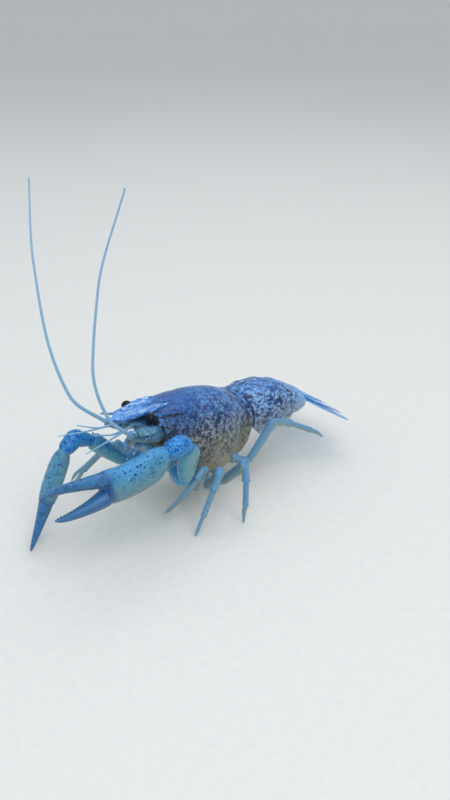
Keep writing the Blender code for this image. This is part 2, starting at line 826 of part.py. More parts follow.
def leg_path(number, side):
    root, lean = hip(number, side)
    foot = Vector(FEET[number, side])
    aim = Vector(KNEES.get((number, side), foot))
    outward = Vector((aim.x - root.x, aim.y - root.y, 0)).normalized()
    ischium = root + (outward + lean * 0.8).normalized() * ISCHIUM[number]
    if aim == foot:
        knee = bend(ischium, foot, MERUS[number], LOWER[number], UP + outward * 0.3)
    else:
        knee = aim
    bow = FLEXED_BOW if (number, side) == (2, 1) else LOWER_BOW
    wrist, ankle = (knee.lerp(foot, share) + (UP + outward) * bow for share in LOWER_SHARES)
    return [root, ischium, knee, wrist, ankle, foot], lean


def leg_sizes(number):
    k = LEG_SIZE[number]
    table = (
        ((1.55, 1.45), (1.5, 1.3)),
        ((1.5, 1.3), (1.6, 1.25)),
        ((1.2, 1.05), (1.3, 1.1)),
        ((1.05, 0.9), (1.0, 0.8)),
        ((0.9, 0.7), (FOOT_RADIUS, FOOT_RADIUS)),
    )
    return [tuple((k * h, k * w) for h, w in pair) for pair in table]


def pincer(path, side_way, k):
    """The small movable finger beside a pincer leg's tip."""
    ankle, foot = path[-2], path[-1]
    way = (foot - ankle).normalized()
    off = way.cross(side_way).normalized()
    if off.z < 0:
        off.negate()
    start = ankle + way * -1.2 + off * 0.35
    tip = ankle.lerp(foot, 0.97) + off * 1.25
    middle = start.lerp(tip, 0.55) + off * 0.45
    rings = []
    stations = ((start, 0.5), (middle, 0.55), (tip, 0.27))
    for step, (point, radius) in enumerate(stations):
        ahead = stations[min(step + 1, 2)][0] - stations[max(step - 1, 0)][0]
        rings.append(ellipse(point, ahead.normalized(), side_way, radius * k, radius * 0.8 * k, 6))
    return loft(rings)


def build_legs():
    for number, side in FEET:
        word = "left" if side == 1 else "right"
        path, lean = leg_path(number, side)
        outward = (path[-1] - path[0]).cross(UP).normalized()
        upper, lower = chain(path, leg_sizes(number), outward, {2}, lean, -UP)
        place(f"leg_{number}_{word}_upper", loft(upper), "limb")
        solids = [loft(lower)]
        if number in (2, 3):
            solids.append(pincer(path, outward, LEG_SIZE[number]))
            fuse(f"leg_{number}_{word}_lower", solids, "limb")
        else:
            place(f"leg_{number}_{word}_lower", solids[0], "limb")


# Claws. Joints of each arm for the standing animal, from the coxa's end out.
ARM = {
    1: ((29.8, 13.1, 16.6), (29.7, 15.1, 27.2), (32.4, 14.8, 29.2), (36.2, 13.7, 28.0)),
    -1: ((32.5, -9.8, 13.6), (41.6, -11.4, 23.6), (47.2, -11.3, 26.6), (51.2, -11.0, 24.6)),
}
CLAW_WAY = {1: (0.985, -0.03, -0.075), -1: (0.465, -0.02, -0.885)}
CLAW_SIZE = {1: 1.0, -1: 0.75}  # the right claw is the smaller one
ARM_SIZE = {1: 1.0, -1: 0.85}
# The way from the fixed finger to the movable one.
CLAW_BROAD = {1: (0.1, -0.1, 0.97), -1: (0.55, 0.75, 0.2)}
PALM_SHARE = 0.53
PALM = (
    (0.0, 2.0, 2.1, 0.0),
    (0.07, 3.0, 2.8, -0.4),
    (0.22, 4.2, 3.4, -1.1),
    (0.45, 4.5, 3.6, -1.5),
    (0.7, 4.5, 3.6, -1.3),
    (0.9, 4.65, 3.3, -0.6),
    (1.0, 4.55, 3.0, -0.2),
)
FIXED_FINGER = (
    (0.012, 2.3, 2.6, -2.4),
    (0.14, 2.15, 2.25, -2.65),
    (0.35, 1.75, 1.8, -2.8),
    (0.6, 1.3, 1.3, -2.65),
    (0.82, 0.88, 0.9, -2.25),
    (0.94, 0.55, 0.58, -1.85),
    (1.0, 0.26, 0.26, -1.5),
)
MOVING_FINGER = (
    (0.0, 1.8, 2.2, 0.0),
    (0.12, 1.75, 2.05, -0.05),
    (0.35, 1.4, 1.65, 0.1),
    (0.6, 1.1, 1.25, 0.15),
    (0.82, 0.78, 0.85, -0.1),
    (0.94, 0.52, 0.55, -0.4),
    (1.0, 0.25, 0.25, -0.65),
)
GAPE = math.radians(15)
CLAW_SIDES = 14
KNUCKLE_GAP = 0.5
FIXED_SHARE = 0.88  # the fixed finger is a little shorter than the movable one


def claw_axes(side):
    way = Vector(CLAW_WAY[side]).normalized()
    broad = Vector(CLAW_BROAD[side])
    broad = (broad - way * broad.dot(way)).normalized()
    return way, broad


def finger_rings(start, way, broad, table, length, k):
    flat = way.cross(broad)
    rings = []
    for share, wide, thick, shift in table:
        centre = start + way * (share * length) + broad * (k * shift)
        rings.append(ellipse(centre, way, flat, k * wide, k * thick, CLAW_SIDES))
    return rings


def claw(side):
    """The palm with its fixed finger, and the movable finger, opened by the gape."""
    way, broad = claw_axes(side)
    k = CLAW_SIZE[side]
    palm_length = k * PALM_SHARE * CLAW_LENGTH
    finger_length = k * CLAW_LENGTH - palm_length
    start = Vector(ARM[side][-1]) + way * GAP
    palm = finger_rings(start, way, broad, PALM, palm_length, k)
    knuckle = start + way * palm_length
    fixed = finger_rings(knuckle, way, broad, FIXED_FINGER, FIXED_SHARE * finger_length, k)
    flat = way.cross(broad)
    opened = Matrix.Rotation(GAPE, 3, flat)
    if (opened @ way).dot(broad) < 0:
        opened = Matrix.Rotation(-GAPE, 3, flat)
    root = knuckle + way * KNUCKLE_GAP + broad * (2.45 * k)
    moving = finger_rings(root, opened @ way, opened @ broad, MOVING_FINGER, finger_length, k)
    moving[0] = ellipse(root, way, flat, 1.7 * k, 2.1 * k, CLAW_SIDES)
    return loft(palm + fixed), loft(moving)


ARM_SIZES = (
    ((2.3, 2.2), (2.3, 2.1)),
    ((2.2, 2.0), (2.9, 2.5)),
    ((2.3, 2.2), (2.7, 2.5)),
    ((2.8, 2.6), (2.2, 2.2)),
)
ARM_SHAPE = ((0.0, 0.84), (0.16, 1.0), (0.5, 1.12), (0.84, 1.06), (1.0, 0.8))
WRIST_BACK = ((0.0, 0.84), (0.3, 1.0), (0.7, 1.06), (1.0, 1.06))
WRIST_FRONT = ((0.0, 1.06), (0.45, 1.04), (0.8, 0.96), (1.0, 0.9))
ARM_SHAPES = (ARM_SHAPE, ARM_SHAPE, WRIST_BACK, WRIST_FRONT)


def build_claws():
    for side, word in ((1, "left"), (-1, "right")):
        root, lean = hip(1, side)
        path = [root, *(Vector(p) for p in ARM[side])]
        way, _ = claw_axes(side)
        k = ARM_SIZE[side]
        plane = (path[2] - path[1]).cross(path[3] - path[2]).normalized()
        sizes = [tuple((k * h, k * w) for h, w in pair) for pair in ARM_SIZES]
        arm, wrist = chain(path, sizes, plane, {2}, lean, way, 12, ARM_SHAPES)
        place(f"cheliped_{word}_arm", loft(arm), "claw")
        place(f"cheliped_{word}_wrist", loft(wrist), "claw")
        palm, moving = claw(side)
        place(f"cheliped_{word}_palm", palm, "claw")
        place(f"cheliped_{word}_finger", moving, "finger")


# The face: eyes, feelers and mouth limbs, whose roots lie on the head's flat front.


def on_face(y, z, clear=0.36):
    return stand(Vector((face_x(z) + clear, y, z)))


def face_normal():
    return (stand(Vector((1, 0, -FACE_TILT))) - stand(Vector())).normalized()


def mirrored(point, side):
    return Vector((point[0], side * point[1], point[2]))


def tube(points, radii, side, count, start_normal=None, end_normal=None, flat=1.0):
    rings = []
    for index, (point, radius) in enumerate(zip(points, radii)):
        way = points[min(index + 1, len(points) - 1)] - points[max(index - 1, 0)]
        normal = way.normalized()
        if index == 0 and start_normal:
            normal = start_normal
        if index == len(points) - 1 and end_normal:
            normal = end_normal
        rings.append(ellipse(point, normal, side, radius * flat, radius, count))
    return loft(rings)


EYE_RADIUS = 1.5
EYE_CUT = 0.75  # the cornea is cut this far behind its middle, where the stalk ends
EYE_WAY = (0.9, 2.2, 0.7)  # forward, out to the side, up
STALK_RADIUS = 1.05
STALK_START = (2.6, -3.6)  # to the side and up, on the face
STALK_END = (34.0, 4.1, -2.5)


def build_eye(side, word):
    start = on_face(side * STALK_START[0], STALK_START[1])
    end = stand(mirrored(STALK_END, side))
    way = (stand(mirrored(EYE_WAY, side)) - stand(Vector())).normalized()
    middle = start.lerp(end, 0.55)
    radii = (STALK_RADIUS, 0.8 * STALK_RADIUS, 0.9 * STALK_RADIUS)
    stalk = tube([start, middle, end], radii, UP, 10, face_normal(), way)
    place(f"eye_stalk_{word}", stalk, "shell")
    centre = end + way * (GAP + EYE_CUT)
    rings = []
    cut = -EYE_CUT / EYE_RADIUS
    for step in range(8):
        height = cut + (0.995 - cut) * math.sin(math.radians(90) * step / 7)
        radius = EYE_RADIUS * math.sqrt(1 - height * height)
        rings.append(ellipse(centre + way * (height * EYE_RADIUS), way, UP, radius, radius, 14))
    place(f"eye_{word}", loft(rings), "eye")


# The middle lines of the long feelers, from the end of their base, for the standing animal.
ANTENNA_BEND = {
    1: ((0.0, 0.0, 0.0), (0.10, 0.015, 0.12), (0.16, 0.04, 0.34), (0.15, 0.09, 0.62), (0.08, 0.16, 0.92)),
    -1: (
        (0.0, 0.0, 0.0),
        (0.12, -0.04, 0.14),
        (0.155, -0.09, 0.36),
        (0.13, -0.16, 0.60),
        (0.05, -0.26, 0.86),
    ),
}
ANTENNA_STEPS = 30
FEELER_BASE_LINE = ((35.2, 4.6, -7.0), (36.6, 4.7, -6.8), (38.2, 4.8, -6.5), (40.6, 4.9, -6.0))
FEELER_BASE_RADII = (1.85, 1.9, 1.45, 1.5, 1.15)
ANTENNULE_STEM_LINE = ((35.4, 1.6, -5.3), (38.0, 1.8, -4.8))
ANTENNULE_STEM_RADII = (0.82, 0.85, 0.6)
ANTENNULE_BRANCHES = ((18.0, 4.2, 1.0), (14.0, 1.6, 3.6))  # reach, spread, lift
ANTENNULE_STEPS = 8


def build_feelers(side, word):
    normal = face_normal()
    base_line = [on_face(side * 4.4, -6.9, 0.6)]
    base_line += [stand(mirrored(p, side)) for p in FEELER_BASE_LINE]
    way = (base_line[-1] - base_line[-2]).normalized()
    base = tube(base_line, FEELER_BASE_RADII, UP, 10, normal, way)
    place(f"antenna_base_{word}", base, "limb")
    root = base_line[-1] + way * GAP
    bends = [root + Vector(p) * ANTENNA_LENGTH for p in ANTENNA_BEND[side]]
    line = smooth_path(bends, ANTENNA_STEPS)
    taper = [0.62 - 0.36 * (i / (ANTENNA_STEPS - 1)) ** 0.8 for i in range(ANTENNA_STEPS)]
    place(f"antenna_{word}", tube(line, taper, Vector((0, 1, 0)), 6, way), "feeler")
    stem = [on_face(side * 1.45, -5.6)]
    stem += [stand(mirrored(p, side)) for p in ANTENNULE_STEM_LINE]
    pieces = [tube(stem, ANTENNULE_STEM_RADII, UP, 8, normal)]
    start = stem[-1] - (stem[-1] - stem[-2]).normalized() * 0.6
    for reach, spread, lift in ANTENNULE_BRANCHES:
        middle = start + Vector((0.45 * reach, side * 0.4 * spread, 0.1 * lift))
        tip = start + Vector((reach, side * spread, lift))
        line = smooth_path([start, middle, tip], ANTENNULE_STEPS)
        taper = [0.4 - 0.13 * i / (ANTENNULE_STEPS - 1) for i in range(ANTENNULE_STEPS)]
        pieces.append(tube(line, taper, UP, 6))
    fuse(f"antennule_{word}", pieces, "feeler")


SCALE = (
    (0.0, 0.75, 0.42, 0.0),
    (0.15, 1.1, 0.42, 0.1),
    (0.4, 1.7, 0.38, 0.25),
    (0.7, 1.6, 0.34, 0.15),
    (0.9, 0.9, 0.3, -0.35),
    (1.0, 0.3, 0.26, -0.8),
)
SCALE_LENGTH = 9.5
SCALE_START = (5.7, -4.95)  # to the side and up, on the face
SCALE_AIM = (43.0, 8.0, -4.5)


def build_scale(side, word):
    start = on_face(side * SCALE_START[0], SCALE_START[1])
    tip = stand(mirrored(SCALE_AIM, side))
    way = (tip - start).normalized()
    broad = (Vector((0, -side, 0)) + UP * 0.25).normalized()
    broad = (broad - way * broad.dot(way)).normalized()
    rings = []
    for share, wide, thick, shift in SCALE:
        normal = face_normal() if share == 0 else way
        centre = start + way * (share * SCALE_LENGTH) + broad * shift
        rings.append(ellipse(centre, normal, broad, thick, wide, 10))
    place(f"antennal_scale_{word}", loft(rings), "limb")


MAXILLIPED_LINE = (
    (25.6, 2.1, -16.6),
    (27.4, 2.2, -15.4),
    (30.2, 2.2, -13.0),
    (33.0, 2.0, -11.0),
    (34.4, 1.9, -10.6),
    (35.4, 1.9, -11.6),
    (35.6, 1.8, -13.4),
)
MAXILLIPED_RADII = (1.1, 1.45, 1.5, 1.2, 1.0, 0.85, 0.35)


def build_maxilliped(side, word):
    line = [stand(mirrored(p, side)) for p in MAXILLIPED_LINE]
    down = (stand(Vector((0.9, 0, -0.6))) - stand(Vector())).normalized()
    limb = tube(line, MAXILLIPED_RADII, Vector((0, 1, 0)), 8, down, flat=0.8)
    place(f"maxilliped_{word}", limb, "limb")


def build_face():
    for side, word in ((1, "left"), (-1, "right")):
        build_eye(side, word)
        build_feelers(side, word)
        build_scale(side, word)
        build_maxilliped(side, word)


def main():
    clear_scene()
    build_carapace()
    build_abdomen()
    build_tail_fan()
    build_legs()
    build_claws()
    build_face()


main()
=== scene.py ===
# %% [markdown]
# # A blue crayfish in Blender
# A museum model of a live animal is made plate by plate, as the animal is. A crayfish wears its skeleton
# outside: a carapace over head and chest, six ringed plates on the tail, a fan, and limbs of stiff tubes
# that nest in each other at the joints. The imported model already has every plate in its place. This
# script makes each one again with a fine surface, and then gives it colour, bristles and light.

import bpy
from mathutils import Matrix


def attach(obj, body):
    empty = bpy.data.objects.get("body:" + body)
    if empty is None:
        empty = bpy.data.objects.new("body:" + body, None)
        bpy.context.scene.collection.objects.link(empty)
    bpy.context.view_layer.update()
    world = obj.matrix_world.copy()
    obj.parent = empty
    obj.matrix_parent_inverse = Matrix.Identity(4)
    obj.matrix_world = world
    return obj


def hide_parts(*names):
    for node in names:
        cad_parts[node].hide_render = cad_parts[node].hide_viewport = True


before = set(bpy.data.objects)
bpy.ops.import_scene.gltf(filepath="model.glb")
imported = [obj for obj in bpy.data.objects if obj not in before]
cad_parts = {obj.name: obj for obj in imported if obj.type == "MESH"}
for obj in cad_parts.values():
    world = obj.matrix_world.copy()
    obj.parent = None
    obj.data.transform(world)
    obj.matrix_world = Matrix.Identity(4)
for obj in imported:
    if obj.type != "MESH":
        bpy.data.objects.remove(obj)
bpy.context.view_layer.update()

# %% Bring in the tools
import math

import bmesh
import bpy
from mathutils import Matrix, Vector, noise

MM = 0.001
ORIGIN = Vector((16.91, -2.69, 0.0))
UP = Vector((0, 0, 1))
LEFT_AND_RIGHT = ((1, "left"), (-1, "right"))

# %% [markdown]
# ## Shapes from rings
# Nearly every plate of a crayfish is a bent, tapered tube, so one way of making a surface serves for all:
# closed rings of points are set along the plate and joined into a skin. It beats sculpting here because
# each ring comes from real sizes in millimetres. Every point also remembers how high it sits on its own
# ring (its crown, from 0 to 1), so that colour can fade from back to belly on a bent limb too.


# %% A smooth value and a smooth line through a few given ones
def profile(points, at):
    if at <= points[0][0]:
        return points[0][1]
    if at >= points[-1][0]:
        return points[-1][1]
    steps = [(b[1] - a[1]) / (b[0] - a[0]) for a, b in zip(points, points[1:])]
    slopes = [steps[0]]
    slopes += [0.0 if a * b <= 0 else 2 * a * b / (a + b) for a, b in zip(steps, steps[1:])]
    slopes.append(steps[-1])
    index = max(i for i in range(len(steps)) if points[i][0] <= at)
    width = points[index + 1][0] - points[index][0]
    t = (at - points[index][0]) / width
    near = (1 + 2 * t) * (1 - t) ** 2 * points[index][1] + t * (1 - t) ** 2 * width * slopes[index]
    far = t * t * (3 - 2 * t) * points[index + 1][1] + t * t * (t - 1) * width * slopes[index + 1]
    return near + far


def smooth_path(points, count):
    places = [i / (len(points) - 1) for i in range(len(points))]
    columns = [[(place, point[axis]) for place, point in zip(places, points)] for axis in range(3)]
    steps = [i / (count - 1) for i in range(count)]
    return [Vector([profile(column, step) for column in columns]) for step in steps]


def shares(count, first=0.0, last=1.0):
    return [first + (last - first) * i / (count - 1) for i in range(count)]


def row_at(table, share):
    """Every column of a size table, at one share of the length."""
    return [profile([(row[0], row[j]) for row in table], share) for j in range(1, len(table[0]))]


def way_at(line, index, reach=1):
    """The way that a line of points runs at one of them."""
    return (line[min(index + reach, len(line) - 1)] - line[max(index - reach, 0)]).normalized()


def bell(at, middle, width):
    """1 in the middle, falling off smoothly on both sides."""
    return math.exp(-(((at - middle) / width) ** 2))


def mirrored(point, side):
    return Vector((point[0], side * point[1], point[2]))


def axes_of(way):
    """To the animal's left and upwards, both square to a way that runs back along it."""
    left = way.cross(UP).normalized()
    return left, left.cross(way)


def flipped(ring):
    return [(mirrored(p, -1), crown) for p, crown in ring]


# %% Rings and the skin over them
def ellipse(centre, normal, side, height, width, count=24):
    across = (side - normal * side.dot(normal)).normalized()
    upward = normal.cross(across)
    skyward = (UP - normal * UP.dot(normal)).normalized()
    ring = []
    for i in range(count):
        angle = 2 * math.pi * i / count
        off = upward * (height * math.cos(angle)) + across * (width * math.sin(angle))
        ring.append((centre + off, 0.5 + 0.5 * off.normalized().dot(skyward)))
    return ring


def middle_of(ring):
    return sum((point for point, _ in ring), Vector()) / len(ring)


def strung(line, side, sizes, count, reach=1):
    """A ring across a line at each of its points. Sizes are pairs of height and width."""
    rings = []
    for index, (point, (height, width)) in enumerate(zip(line, sizes)):
        rings.append(ellipse(point, way_at(line, index, reach), side, height, width, count))
    return rings


CAP_STEPS = 4


def dome(ring, way, height):
    """Rings that close an end in a rounded cap."""
    centre = middle_of(ring)
    rings = []
    for step in range(1, CAP_STEPS + 1):
        angle = 0.5 * math.pi * step / CAP_STEPS
        size, rise = max(0.03, math.cos(angle)), way * (height * math.sin(angle))
        rings.append([(centre + (p - centre) * size + rise, crown) for p, crown in ring])
    return rings


def capped(rings, start=None, end=None):
    """A ring stack with rounded ends. Start and end are how far each cap bulges, in millimetres."""
    made = list(rings)
    if start:
        way = (middle_of(rings[0]) - middle_of(rings[1])).normalized()
        made = [*reversed(dome(rings[0], way, start)), *made]
    if end:
        way = (middle_of(rings[-1]) - middle_of(rings[-2])).normalized()
        made += dome(rings[-1], way, end)
    return made


# %% One object from closed ring stacks
def plain_mesh(shape, name):
    bmesh.ops.recalc_face_normals(shape, faces=shape.faces)
    mesh = bpy.data.meshes.new(name)
    shape.to_mesh(mesh)
    shape.free()
    mesh.shade_smooth()
    return mesh


def skin(name, stacks):
    shape = bmesh.new()
    crown_layer = shape.verts.layers.float.new("crown")
    along_layer = shape.verts.layers.float.new("along")
    for rings in stacks:
        count, total = len(rings[0]), len(rings)
        points = []
        for step, ring in enumerate(rings):
            for point, crown in ring:
                made = shape.verts.new((point - ORIGIN) * MM)
                made[crown_layer] = crown
                made[along_layer] = step / (total - 1)
                points.append(made)
        for step in range(total - 1):
            for spot in range(count):
                here, beside = step * count + spot, step * count + (spot + 1) % count
                corners = (here, beside, beside + count, here + count)
                shape.faces.new([points[corner] for corner in corners])
        shape.faces.new(points[:count])
        shape.faces.new(points[-count:])
    return plain_mesh(shape, name)


def linked(name, data):
    made = bpy.data.objects.new(name, data)
    bpy.context.scene.collection.objects.link(made)
    return made


def piece(name, mesh, finish, slot, *nodes, crease=50):
    """Puts a mesh into the scene in place of the solids that it stands for."""
    mesh.materials.clear()
    mesh.materials.append(finish)
    mesh.set_sharp_from_angle(angle=math.radians(crease))
    made = linked(name, mesh)
    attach(made, "root")
    if nodes:
        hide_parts(*nodes)
    return made


# %% [markdown]
# ## Colour of a living shell
# The cuticle of a crayfish is chitin hardened with lime. Its colour lies in the layer itself, under a thin
# waxy skin that is nearly clear and always wet, so it has a soft sheen with a sharper gloss on top. A
# painted picture could be wrapped round it, but node patterns follow every plate without a seam. The
# markings are worm-like dark blotches over a paler ground that fades towards the belly.


# %% Nodes and colours
def linear(code):
    parts = [int(code[i : i + 2], 16) / 255 for i in (1, 3, 5)]
    return (*[p / 12.92 if p <= 0.04045 else ((p + 0.055) / 1.055) ** 2.4 for p in parts], 1.0)


def add(tree, kind, inputs=None, give=0, stops=(), **settings):
    """Adds a node and gives back one of its outputs. Inputs hold values or other nodes' outputs."""
    node = tree.nodes.new(kind)
    for key, value in settings.items():
        setattr(node, key, value)
    for key, value in (inputs or {}).items():
        if isinstance(value, bpy.types.NodeSocket):
            tree.links.new(value, node.inputs[key])
        else:
            node.inputs[key].default_value = value
    if stops:
        node.color_ramp.interpolation = "EASE"
        elements = node.color_ramp.elements
        for spot, _ in stops[1:-1]:
            elements.new(spot)
        for element, (spot, code) in zip(elements, stops):
            element.position = spot
            element.color = linear(code)
    return node.outputs[give] if node.outputs else None


def maths(tree, operation, *values):
    return add(tree, "ShaderNodeMath", dict(enumerate(values)), operation=operation)


def ramp(tree, level, stops):
    return add(tree, "ShaderNodeValToRGB", {"Fac": level}, stops=stops)


def ranged(tree, value, low, high, least=0.0, most=1.0, **settings):
    """Maps low to least and high to most, and stays at those outside."""
    sockets = {"Value": value, "From Min": low, "From Max": high, "To Min": least, "To Max": most}
    return add(tree, "ShaderNodeMapRange", sockets, **settings)


def new_finish(name):
    made = bpy.data.materials.new(name)
    made.use_nodes = True
    made.node_tree.nodes.clear()
    return made, made.node_tree, add(made.node_tree, "ShaderNodeTexCoord", give="Object")


def close_finish(tree, sockets):
    add(tree, "ShaderNodeOutputMaterial", {"Surface": add(tree, "ShaderNodeBsdfPrincipled", sockets)})


# %% Markings
# How soft the border of each kind is, as a share of its pattern's own range.
SOFT = {"worm": 0.035, "blot": 0.06, "dot": 0.09}


def off_from(tree, value, middle):
    return maths(tree, "ABSOLUTE", maths(tree, "SUBTRACT", value, middle))


def marking(tree, where, kind, size, amount, seed):
    """A mask of worm-like lines, blots or round dots. Size is their spacing in millimetres."""
    soft = SOFT[kind]
    if kind == "dot":
        warp = add(tree, "ShaderNodeTexNoise", {"Vector": where, "Scale": 1800.0}, give="Color")
        shift = {0: warp, 1: (0.3 * size * MM,) * 3, 2: where}
        near = add(tree, "ShaderNodeVectorMath", shift, operation="MULTIPLY_ADD")
        cells = {"Vector": near, "Scale": 1000.0 / size, "Randomness": 0.9}
        far = add(tree, "ShaderNodeTexVoronoi", cells, give="Distance")
        chance = add(tree, "ShaderNodeSeparateColor", {0: far.node.outputs["Color"]}, give=seed % 3)
        radius = ranged(tree, chance, 0.4, 1.0, 0.0, amount)
        edge = (maths(tree, "SUBTRACT", radius, far), -soft, soft)
    else:
        turns = {"Vector": where, "W": 7.3 * seed, "Scale": 1000.0 / size}
        turns |= {"Detail": 2.5, "Roughness": 0.55, "Distortion": 0.5}
        wave = add(tree, "ShaderNodeTexNoise", turns, noise_dimensions="4D")
        edge = (wave, amount - soft, amount + soft)
        if kind == "worm":
            edge = (off_from(tree, wave, 0.5), amount + soft, max(0.0, amount - soft))
    return ranged(tree, *edge, interpolation_type="SMOOTHSTEP")


def mixed(tree, share, under, over):
    return add(tree, "ShaderNodeMix", {0: share, 6: under, 7: over}, give=2, data_type="RGBA")


def past(tree, forward, drift, start, whole, wander):
    """0 behind a place on the animal and 1 in front of it, with an uneven border of some millimetres."""
    uneven = maths(tree, "MULTIPLY_ADD", drift, 2 * wander * MM, forward)
    low, high = ((x + wander - ORIGIN.x) * MM for x in (start, whole))
    return ranged(tree, uneven, low, high)


def band(tree, height, forward, drift, crown, half, start, end):
    """A stripe along the body, at one height on the shell, from one place to another further forward."""
    near = ranged(tree, off_from(tree, height, crown), half, 0.3 * half)
    begun, over = (past(tree, forward, drift, x, x + 2.0, 1.0) for x in (start, end))
    between = maths(tree, "SUBTRACT", begun, over)
    return maths(tree, "MULTIPLY", near, between)


# %% A patterned cuticle
def cuticle(name, ground, marks=(), gloss=0.36, glow=0.1, bumps=(0.5, 0.04), stretch=(1, 1, 1), **extras):
    """Ground is crown stops. Marks are (kind, crown stops or one colour, spacing, amount, crown where they
    start, and at times x where they start). Bumps are their spacing and height. Extras can be front, (crown
    stops, x where they start, x where they are whole); ends, (colour, share) at joints; tips, (crown stops,
    share along the piece where they start, share where they are whole); and bands, (colour, crown, half
    their height, first x, last x)."""
    made, tree, where = new_finish(name)
    crown = add(tree, "ShaderNodeAttribute", attribute_name="crown", give="Fac")
    along = add(tree, "ShaderNodeAttribute", attribute_name="along", give="Fac")
    forward = add(tree, "ShaderNodeSeparateXYZ", {0: where})
    drift = add(tree, "ShaderNodeTexNoise", {"Vector": where, "Scale": 220.0, "Detail": 2.0})
    level = maths(tree, "MULTIPLY_ADD", drift, 0.4, crown)
    level = maths(tree, "SUBTRACT", level, 0.2)
    colour = ramp(tree, level, ground)
    if "front" in extras:
        brighter, start, whole = extras["front"]
        share = past(tree, forward, drift, start, whole, 2.0)
        colour = mixed(tree, share, colour, ramp(tree, level, brighter))
    if "ends" in extras:
        code, reach = extras["ends"]
        share = ranged(tree, off_from(tree, along, 0.5), 0.5 - reach, 0.5, 0.0, 0.9)
        colour = mixed(tree, share, colour, linear(code))
    turned = add(tree, "ShaderNodeMapping", {"Vector": where, "Scale": stretch})
    for seed, (kind, tint, size, amount, lowest, *starts) in enumerate(marks):
        tint = linear(tint) if isinstance(tint, str) else ramp(tree, level, tint)
        share = marking(tree, turned, kind, size, amount, seed)
        share = maths(tree, "MULTIPLY", share, ranged(tree, level, lowest - 0.15, lowest + 0.15))
        for first_x in starts:
            share = maths(tree, "MULTIPLY", share, past(tree, forward, drift, first_x, first_x + 4, 5.0))
        colour = mixed(tree, share, colour, tint)
    for stops, start, whole in extras.get("tips", ()):
        uneven = maths(tree, "MULTIPLY_ADD", drift, 0.12, along)
        share = ranged(tree, uneven, start + 0.06, whole + 0.06)
        colour = mixed(tree, share, colour, ramp(tree, level, stops))
    for code, *where_to in extras.get("bands", ()):
        colour = mixed(tree, band(tree, crown, forward, drift, *where_to), colour, linear(code))
    spread = {"Vector": where, "Scale": 1000.0 / bumps[0]}
    pits = add(tree, "ShaderNodeTexVoronoi", spread, feature="SMOOTH_F1")
    raised = add(tree, "ShaderNodeBump", {"Height": pits, "Strength": 0.7, "Distance": bumps[1] * MM})
    waves = add(tree, "ShaderNodeTexNoise", {"Vector": where, "Scale": 450.0, "Detail": 3.0})
    sockets = {"Height": waves, "Normal": raised, "Strength": 0.4, "Distance": 0.12 * MM}
    raised = add(tree, "ShaderNodeBump", sockets)
    sheen = ranged(tree, drift, 0.0, 1.0, gloss - 0.1, gloss + 0.1)
    sockets = {"Base Color": colour, "Roughness": sheen, "Normal": raised, "IOR": 1.45}
    sockets |= {"Coat Weight": 0.2, "Coat Roughness": 0.12, "Coat IOR": 1.4}
    sockets |= {
        "Subsurface Weight": glow, "Subsurface Radius": (0.5, 0.8, 1.0), "Subsurface Scale": 0.6 * MM
    }
    close_finish(tree, sockets)
    return made


# %% Finishes of the body
# The shield is thick, limy shell: hardly any light goes through it, and its dark blotches follow the fade
# from blue on the back to olive on the belly, so each mark takes its colour from its height as well.
shell_ground = (
    (0.0, "#A09478"), (0.2, "#8C8E88"), (0.42, "#8090A8"), (0.66, "#6690C4"), (0.85, "#5090D2"),
    (1.0, "#4A8ED4"),
)
shell_dark = ((0.0, "#44443A"), (0.25, "#262E32"), (0.5, "#16305A"), (0.75, "#0E4084"), (1.0, "#12529E"))
shell_marks = (
    ("worm", shell_dark, 2.0, 0.028, 0.12),
    ("blot", shell_dark, 1.5, 0.55, 0.12),
    ("blot", shell_dark, 0.8, 0.60, 0.16),
    ("blot", "#98BEE8", 1.1, 0.69, 0.35),
)
rear_patch = ("#B4AA90", 0.3, 0.16, -7.0, -3.6)
shell_cuticle = cuticle("shell_cuticle", shell_ground, shell_marks, bands=(rear_patch,), glow=0.05)
# The head is darker on its cheek and turns sky blue in front of the eye, where the dark marks stop.
head_ground = ((0.0, "#8A8C90"), (0.3, "#627692"), (0.6, "#4270AC"), (0.85, "#306CB8"), (1.0, "#3072C0"))
beak_ground = ((0.0, "#7FA6C8"), (0.45, "#5E92D2"), (0.8, "#5A9CEA"), (1.0, "#66AAF4"))
eye_line = ("#16264E", 0.65, 0.035, 22.5, 32.0)
head_cuticle = cuticle(
    "head_cuticle", head_ground, shell_marks, front=(beak_ground, 29.5, 33.5), bands=(eye_line,),
    glow=0.05,
)
# The beak has the same shell, but its marks are drawn out along it into pale streaks.
beak_marks = (
    ("worm", "#2B66BC", 1.5, 0.02, 0.2),
    ("blot", "#2F6AC0", 1.1, 0.60, 0.3),
    ("blot", "#B4DAFC", 0.9, 0.59, 0.3),
)
beak_cuticle = cuticle(
    "beak_cuticle", head_ground, beak_marks, front=(beak_ground, 25.0, 30.0), glow=0.08,
    stretch=(0.35, 1, 1),
)
# Tail plates are thinner and lighter. Their marks fade out towards the fan.
tail_ground = ((0.0, "#A8B4BA"), (0.35, "#94ACC8"), (0.7, "#80AEE0"), (1.0, "#66A4E6"))
tail_dark = ((0.0, "#4A5A70"), (0.4, "#2C4470"), (0.7, "#1C4686"), (1.0, "#1C5CAE"))
tail_marks = (
    ("worm", tail_dark, 1.9, 0.02, 0.3, -25.0),
    ("blot", tail_dark, 1.4, 0.565, 0.12, -24.0),
    ("blot", tail_dark, 0.75, 0.61, 0.12, -34.0),
    ("blot", "#16305E", 2.6, 0.585, 0.3, -25.0),
    ("blot", "#B4D4F6", 1.1, 0.64, 0.45),
)
# A plate's rear edge lies over the next one. Each plate gets a fine dark line at both ends: painted shade
# where the plates overlap, together with the navy marks along their edges.
tail_edge_marks_and_shade = ("#34609E", 0.045)
tail_cuticle = cuticle(
    "tail_cuticle", tail_ground, tail_marks, ends=tail_edge_marks_and_shade, glow=0.08, stretch=(0.8, 1, 1)
)
